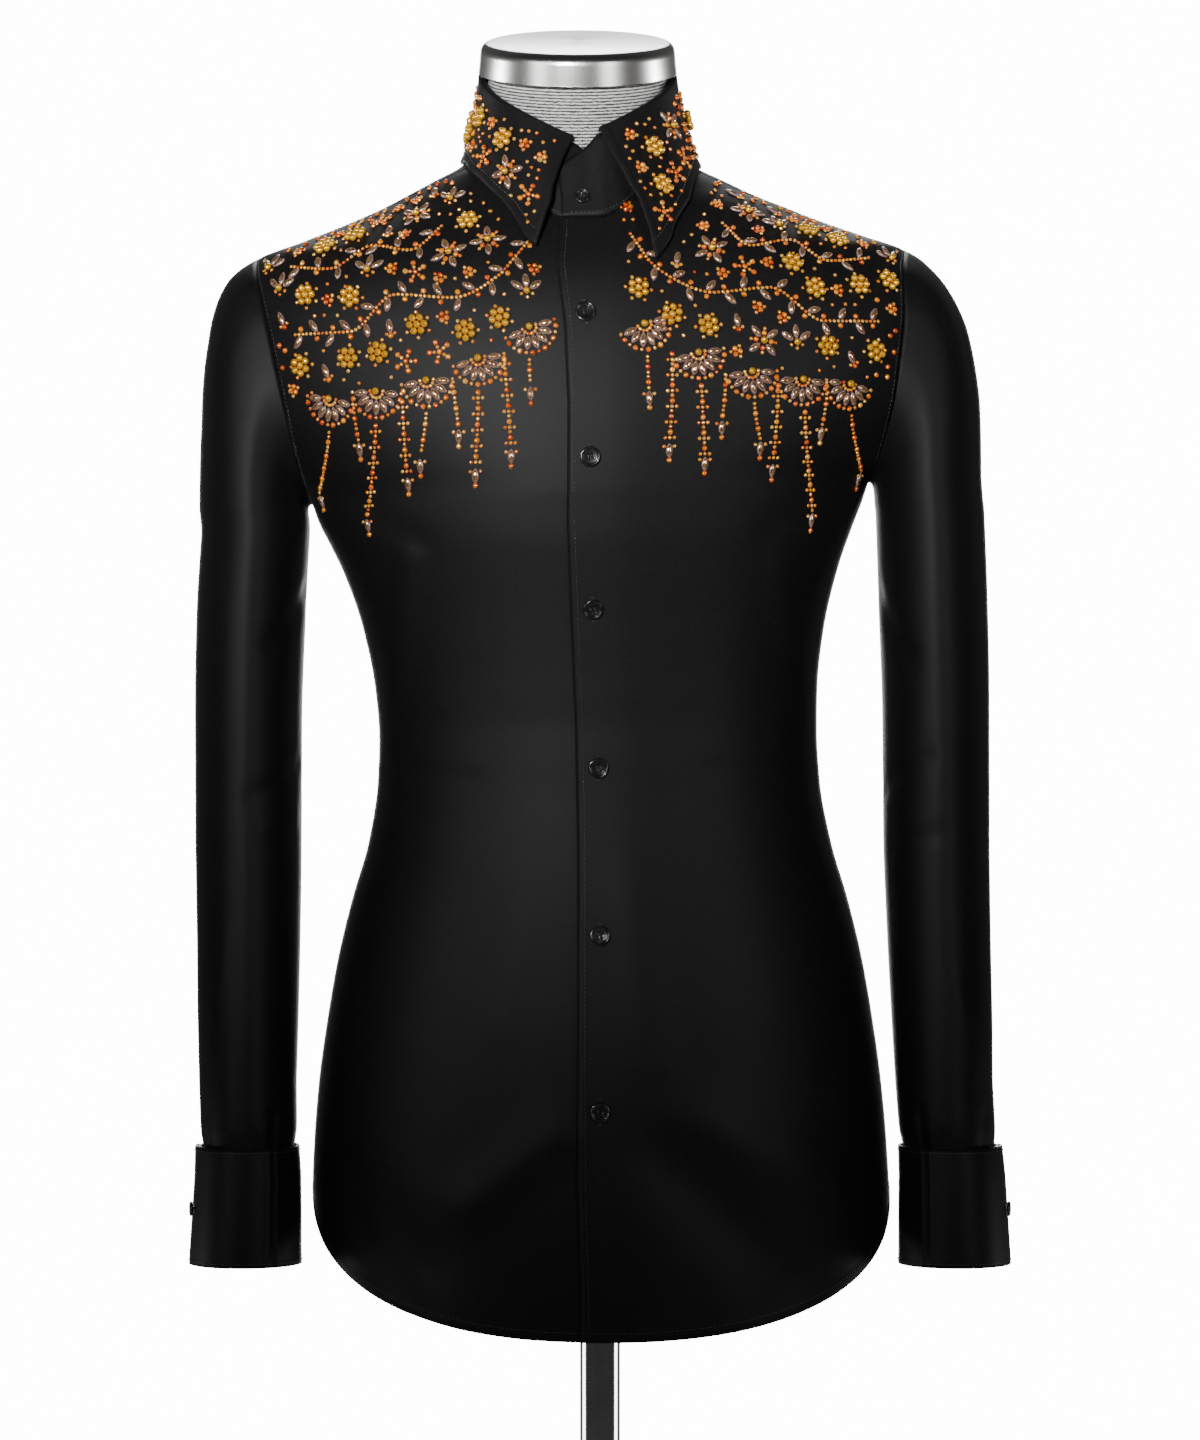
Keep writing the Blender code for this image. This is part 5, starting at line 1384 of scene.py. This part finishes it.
def pendant(place, x, top, length, lean, rich):
    # a hanging string of graded stones with a marquise drop; the richer ones carry pairs at the side
    t = np.linspace(0.0, 1.0, 60)
    path = chestPath(x + lean * t ** 1.5, top - length * t)
    pattern = [stoneKind, smallKind, smallKind] if rich else [smallKind, smallKind, stoneKind]
    used = layString(place, path, pattern)
    if rich:
        for p in used[1::3]:
            layMotif(place, p, pair(2.9, 0.0))
    layMotif(place, path[-1], dropEnd)


def sprig(place, xs, zs, every=4):
    # a stem of small stones with marquise leaves to either side in turn
    t = np.linspace(0.0, 1.0, 200)
    knots = np.linspace(0.0, 1.0, len(xs))
    curve = np.stack([knots, xs, zs], axis=1)
    path = chestPath(through(curve, 1, t), through(curve, 2, t))
    used = layString(place, path, [smallKind])
    here, axes = onCloth(place, used)
    ahead = np.gradient(here, axis=0)
    angle = np.arctan2((ahead * axes[..., 1]).sum(-1), (ahead * axes[..., 0]).sum(-1))
    for n, k in enumerate(range(2, len(used) - 1, every)):
        way = 1 if n % 2 else -1
        turn = angle[k] + way * 0.95
        layMotif(place, used[k], [(6.0 * math.cos(turn), 6.0 * math.sin(turn), marquiseKind, turn)])
        back = angle[k] - way * 1.2
        layMotif(place, used[k], [(3.4 * math.cos(back), 3.4 * math.sin(back), stoneKind, 0.0)])
    return here


def halton(n, base):
    # even scatter between 0 and 1: each whole number's digits in the base, mirrored behind the point
    value, share = np.zeros(n), 1.0 / base
    index = np.arange(1, n + 1)
    while index.any():
        value += share * (index % base)
        index //= base
        share /= base
    return value


def fill(place, low, high, inside, taken, order, singles):
    # motifs drop one by one where they have room, the larger ones first; single stones fill what is left
    spots = np.stack([low[0] + (high[0] - low[0]) * halton(bead["tries"], 2),
                      low[1] + (high[1] - low[1]) * halton(bead["tries"], 3)], axis=1)
    points = place(spots)
    margin = inside(spots, points)
    room = np.full(len(spots), 1.0)   # distance from each spot to the nearest edge of what is laid
    for where, radius in taken:
        room = np.minimum(room, np.linalg.norm(points - where, axis=1) - radius)
    for name, count in order:
        size, motif = motifs[name]
        need = size * 0.001
        swing, pace = {"bud": (0.5, 3.0), "palmette": (0.0, 1.0)}.get(name, (0.6, 5.0))
        for _ in range(count):
            free = np.flatnonzero((margin > need) & (room > need + bead["clear"]))
            if not len(free):
                break
            k = int(free[0])
            layMotif(place, spots[k], motif, swing * math.sin(pace * k))
            room = np.minimum(room, np.linalg.norm(points - points[k], axis=1) - need)
    while True:
        free = np.flatnonzero((margin > 0.002) & (room > singles))
        if not len(free):
            break
        k = int(free[0])
        layBeads(place, spots[k][None], [smallKind if k % 4 else stoneKind], 0.0)
        room = np.minimum(room, np.linalg.norm(points - points[k], axis=1) - 0.0009)


def leafShadow(theta, side):
    # the height of the collar leaf's edge over the body at an angle
    table = leafRight if side < 0 else leafLeft
    along = np.linspace(0.0, 1.0, 80)
    angles = np.radians(through(table, 2, along))
    shown = np.interp(theta, angles, through(table, 3, along))
    return np.where(theta < angles[0], 1.0, shown)


upperRows = bodyTable[:, 0] > 0.655
ridgeHalf, ridgeHeight = bodyTable[upperRows, 1][::-1], bodyTable[upperRows, 0][::-1]


def chestMargin(side):
    # how far a point of the chest lies inside the beaded area
    def inside(p, points):
        theta, z = p[:, 0], p[:, 1]
        x = points[:, 0] * side
        outer = outerTheta(z)
        edge = np.linalg.norm(points - bodyPoint(outer * side, z), axis=1)
        edge = np.where(theta < outer, edge - bead["plainSeam"], -1.0)
        below = (z - borderHeight(x)) - 0.003
        top = leafShadow(theta, side) - z - 0.004
        ridge = np.interp(np.abs(points[:, 0]), ridgeHalf, ridgeHeight) - z - bead["plainStrip"]
        return np.min([edge, below, ridge, top, x - bead["plainMiddle"]], axis=0)
    return inside


for side in (-1, 1):
    place = chestPlace(side)
    taken = []
    for n, x in enumerate(bead["fans"]):
        z = float(borderHeight(x))
        p = chestPath([x], [z])[0]
        layMotif(place, p, shellFan, 0.35 - 0.14 * n)
        taken.append((place(p), bead["fanRoom"]))
        length = bead["pendants"][n] + 0.003 * math.sin(n * 2.0 + side)
        pendant(place, x + 0.001, z - 0.0195, length, 0.002 * n, n % 2 == 1)
        if n < len(bead["between"]):
            gapX = (x + bead["fans"][n + 1]) / 2
            pendant(place, gapX, float(borderHeight(gapX)) - 0.007, bead["between"][n], -0.003, n % 2 == 0)
    for vine in [sprig(place, xs, zs, every) for xs, zs, every in bead["vines"]]:
        taken += [(q, bead["vineRoom"]) for q in vine[::2]]
    fill(place, (0.10, 0.60), (1.62, 0.752), chestMargin(side), taken, bead["chest"], bead["singles"])
print("chest laid")


def leafMargin(place):
    # how far a point of a leaf lies inside its fold, its lower edge and its front edge
    def inside(p, points):
        along, down = p[:, 0], p[:, 1]
        zero = 0 * along
        edges = ((along, zero, 0.005), (along, zero + 1, 0.006), (zero, down, 0.006))
        return np.min([np.linalg.norm(points - place(np.stack([a, b], axis=1)), axis=1) - plain
                       for a, b, plain in edges], axis=0)
    return inside


for table, side in ((leafRight, -1), (leafLeft, 1)):
    place = leafPlace(table, side)
    fill(place, (0.0, 0.0), (0.995, 1.0), leafMargin(place), [], bead["collar"], bead["singles"] * 0.85)
print("collar laid")

spotPoint = np.concatenate(beadSpots["point"])
spotAxes = np.concatenate(beadSpots["axes"])
spotKind = np.concatenate(beadSpots["kind"])
spotTurn = np.concatenate(beadSpots["turn"])
print("beads", [int((spotKind == k).sum()) for k in range(4)])


def spread(template, faces, point, axes, turn, scale):
    # one copy of a small shape at each spot, turned in the cloth's plane
    c, s = np.cos(turn), np.sin(turn)
    sideways = axes[..., 0] * c[:, None] + axes[..., 1] * s[:, None]
    upwards = axes[..., 1] * c[:, None] - axes[..., 0] * s[:, None]
    local = template[None] * np.asarray(scale, float).reshape(-1, 1, 1)
    vertices = point[:, None] + local[..., :1] * sideways[:, None] + local[..., 1:2] * upwards[:, None]
    vertices = vertices + local[..., 2:] * axes[..., 2][:, None]
    shift = (np.arange(len(point)) * len(template))[:, None, None]
    return vertices.reshape(-1, 3), (faces[None] + shift).reshape(-1, faces.shape[1])


def latheShape(profile, sides):
    # a small turned shape as loose points and faces, nearly closed by its end rings
    grid = lathed(profile, sides)
    return grid.reshape(-1, 3), turnedFaces(len(grid), sides)


def scatter(count, seed):
    # even scatter between 0 and 1 from a fast sine
    return np.modf(np.abs(np.sin(np.arange(count) * 12.9898 + seed) * 43758.5453))[0]


def makeBeads(name, kind, shape, looks, faceLooks=None):
    # every bead of a kind as one piece, each a little larger or smaller than the next
    template, faces = shape
    chosen = spotKind == kind
    point, axes, turn = spotPoint[chosen], spotAxes[chosen], spotTurn[chosen]
    lot = scatter(len(point), 0.0)
    vertices, everyFace = spread(template, faces, point, axes, turn, 1 + 0.06 * (lot - 0.5))
    picked = faceLooks(lot, len(faces)) if faceLooks else None
    newMesh(name, warp(vertices), everyFace, looks, (), faceLooks=picked, smooth=faceLooks is None)


coat = {"Coat_Weight": 1.0, "Coat_Roughness": 0.03}
satin = {"Coat_Weight": 0.4, "Coat_Roughness": 0.05}
sheer = {"Coat_Weight": 0.8, "Coat_Roughness": 0.05}
goldPearl = varied("goldPearl", (0.80, 0.39, 0.010), (1.0, 0.57, 0.030), 0.12, 0.70, 900.0, **sheer)
amberRed = varied("amberRed", (0.42, 0.024, 0.002), (0.66, 0.070, 0.004), 0.09, 0.45, 1400.0, **coat)
amberDeep = varied("amberDeep", (0.62, 0.10, 0.003), (0.86, 0.20, 0.006), 0.09, 0.45, 1400.0, **coat)
amberLight = varied("amberLight", (0.80, 0.27, 0.008), (0.96, 0.40, 0.020), 0.09, 0.5, 1400.0, **coat)
paleGold = varied("paleGold", (0.84, 0.46, 0.06), (0.95, 0.62, 0.16), 0.10, 0.6, 1400.0, **coat)
champagne = varied("champagne", (0.46, 0.25, 0.11), (0.68, 0.41, 0.21), 0.14, 0.8, 1100.0, **satin)
# a darker copy of the champagne tone, laid on random crown facets as painted facet shade
bronzeFacetShade = varied("bronzeFacetShade", (0.20, 0.10, 0.04), (0.40, 0.23, 0.11), 0.14, 0.8, 1100.0, **satin)
lilacEdge = varied("lilacEdge", (0.24, 0.145, 0.125), (0.37, 0.235, 0.21), 0.24, 0.45, 900.0, **sheer)

r = bead["radii"][pearlKind]
turns = np.linspace(-math.pi / 2 + 0.12, math.pi / 2 - 0.12, 9)
pearlShape = latheShape([(r * math.cos(a), r * 0.88 + r * math.sin(a)) for a in turns], 12)
makeBeads("goldPearls", pearlKind, pearlShape, [goldPearl])


def facetLooks(shares, strays):
    # each stone has a tone of its own, and a share of its facets takes one of the other tones as painted
    # reflections, lighter and darker, for the glints of a cut stone
    def pick(lot, each):
        tone = np.repeat(np.searchsorted(shares, lot), each)
        stray = scatter(len(tone), 1.7)
        other = np.searchsorted(shares, scatter(len(tone), 4.1))
        return np.where(stray < strays, other, tone)
    return pick


# the stones' own tones, which the stray facets also use as painted reflections
amberLooks = [amberRed, amberDeep, amberLight, paleGold]
for name, kind, shares in (("amberStones", stoneKind, (0.22, 0.66, 0.90)),
                           ("smallStones", smallKind, (0.08, 0.34, 0.62))):
    r = bead["radii"][kind]
    profile = [(r * 0.86, 0.00005), (r, r * 0.22), (r * 0.97, r * 0.42), (r * 0.62, r * 0.88),
               (r * 0.42, r * 0.98), (r * 0.03, r * 1.0)]
    makeBeads(name, kind, latheShape(profile, 8), amberLooks, facetLooks(shares, 0.42))


def marquiseShape(sides):
    # pointed oval: rings of x = length/2 * cos, y = width/2 * sin * |sin|^0.35, smaller as they rise
    angle = fullTurn(sides)
    half, wide = bead["marquise"][0] / 2, bead["marquise"][1] / 2
    rings = ((0.90, 0.00005), (1.0, 0.0004), (0.97, 0.0008), (0.72, 0.0015), (0.40, 0.0019), (0.02, 0.0020))
    oval = half * np.cos(angle), wide * np.sin(angle) * np.abs(np.sin(angle)) ** 0.35
    grid = np.stack([np.stack([oval[0] * size, oval[1] * size, height + 0 * angle], axis=-1)
                     for size, height in rings])
    return grid.reshape(-1, 3), turnedFaces(len(rings), sides)


def marquiseLooks(lot, each):
    # lilac girdle, and a crown of champagne facets broken by darker bronze ones, which are painted facet
    # shade
    ringLooks = np.tile(np.repeat([2, 2, 2, 0, 0], each // 5), len(lot))
    dark = scatter(len(ringLooks), 2.3) < 0.34
    return np.where((ringLooks == 0) & dark, 1, ringLooks)


makeBeads("marquiseStones", marquiseKind, marquiseShape(14), [champagne, bronzeFacetShade, lilacEdge], marquiseLooks)
newMesh("stitches", np.concatenate(sewn["vertices"]), np.concatenate(sewn["faces"]), thread)
print("stitches and beadwork ready")

# Camera, light and floor.

studio = {"floorRadius": 1.4, "eyeDistance": 4.0, "eyeHeight": 0.6568,
          "lens": 155.0, "front": 0.040, "sides": 0.12, "sidesFrom": -0.30, "sidesTo": 0.50,
          "behind": 15.0, "glowFrom": 0.955, "glowTo": 0.984}
# name, place, aim, size, power, spread in degrees
lights = (
    ("keyLight", (-0.80, -3.3, 1.25), (0.0, 0.0, 1.10), (0.5, 0.30), 4.1, 25.0),
    ("leftPanel", (-1.95, -2.0, 1.05), (0.0, 0.0, 1.0), (0.7, 1.0), 2.5, 60.0),
    ("rightPanel", (1.55, -2.15, 1.05), (0.0, 0.0, 1.0), (0.65, 1.0), 2.5, 60.0),
    ("lowLeft", (-0.95, 0.25, 0.14), (0.0, 0.0, 0.14), (0.5, 0.24), 0.22, 40.0),
    ("lowRight", (0.95, 0.25, 0.14), (0.0, 0.0, 0.14), (0.5, 0.24), 0.22, 40.0),
    ("capLeft", (-0.95, 0.20, 1.09), (0.0, 0.0, 1.09), (0.3, 0.10), 0.13, 24.0),
    ("capRight", (0.95, 0.20, 1.09), (0.0, 0.0, 1.09), (0.3, 0.10), 0.13, 24.0),
    ("backLight", (0.0, 2.2, 2.6), (0.0, 0.0, 0.70), (1.2, 1.0), 3.5, 50.0),
)


def addLight(name, place, aim, size, power, spread):
    # a soft rectangle, turned to face its aim
    data = bpy.data.lights.new(name, "AREA")
    data.shape, data.size, data.size_y, data.energy = "RECTANGLE", size[0], size[1], power
    data.spread = math.radians(spread)
    made = bpy.data.objects.new(name, data)
    made.location = place
    way = np.array(aim) - np.array(place)
    down = math.atan2(math.hypot(way[0], way[1]), -way[2])
    made.rotation_euler = (down, 0.0, math.atan2(way[0], -way[1]) + math.pi)
    bpy.context.scene.collection.objects.link(made)


corners = lathed([(studio["floorRadius"], 0.0)], 96)[0]
floorMesh = bpy.data.meshes.new("floor")
floorMesh.from_pydata(corners.tolist(), [], [tuple(range(len(corners)))])
floorMesh.materials.append(varied("paleFloor", (0.77, 0.77, 0.77), (0.83, 0.83, 0.83), 0.7, 0.0, 3.0))
floor = bpy.data.objects.new("floor", floorMesh)
bpy.context.scene.collection.objects.link(floor)

# the surroundings are dim in front, lighter at the sides, and bright behind the shirt as the camera sees it
world = bpy.data.worlds.new("studio")
world.use_nodes = True
sky = world.node_tree
way = sky.nodes.new("ShaderNodeTexCoord")
split = sky.nodes.new("ShaderNodeSeparateXYZ")
dim = addNode(sky, "ShaderNodeMapRange", From_Min=studio["sidesFrom"], From_Max=studio["sidesTo"],
              To_Min=studio["front"], To_Max=studio["sides"])
glow = addNode(sky, "ShaderNodeMapRange", From_Min=studio["glowFrom"], From_Max=studio["glowTo"],
               To_Max=studio["behind"])
for ramp in (dim, glow):
    ramp.interpolation_type = "SMOOTHSTEP"
backdrop = sky.nodes["Background"]
backdrop.inputs["Color"].default_value = (1.0, 1.0, 1.0, 1.0)
wire(sky, (way, "Generated", split, "Vector"), (split, "Y", dim, "Value"), (split, "Y", glow, "Value"),
     (dim, "Result", glow, "To Min"), (glow, "Result", backdrop, "Strength"))
bpy.context.scene.world = world
for light in lights:
    addLight(*light)

cameraData = bpy.data.cameras.new("eye")
cameraData.lens, cameraData.sensor_width = studio["lens"], 36.0
eye = bpy.data.objects.new("eye", cameraData)
eye.location = (0.0, -studio["eyeDistance"], studio["eyeHeight"])
eye.rotation_euler = (math.radians(90.0), 0.0, 0.0)
bpy.context.scene.collection.objects.link(eye)
bpy.context.scene.camera = eye
print("camera and light ready")
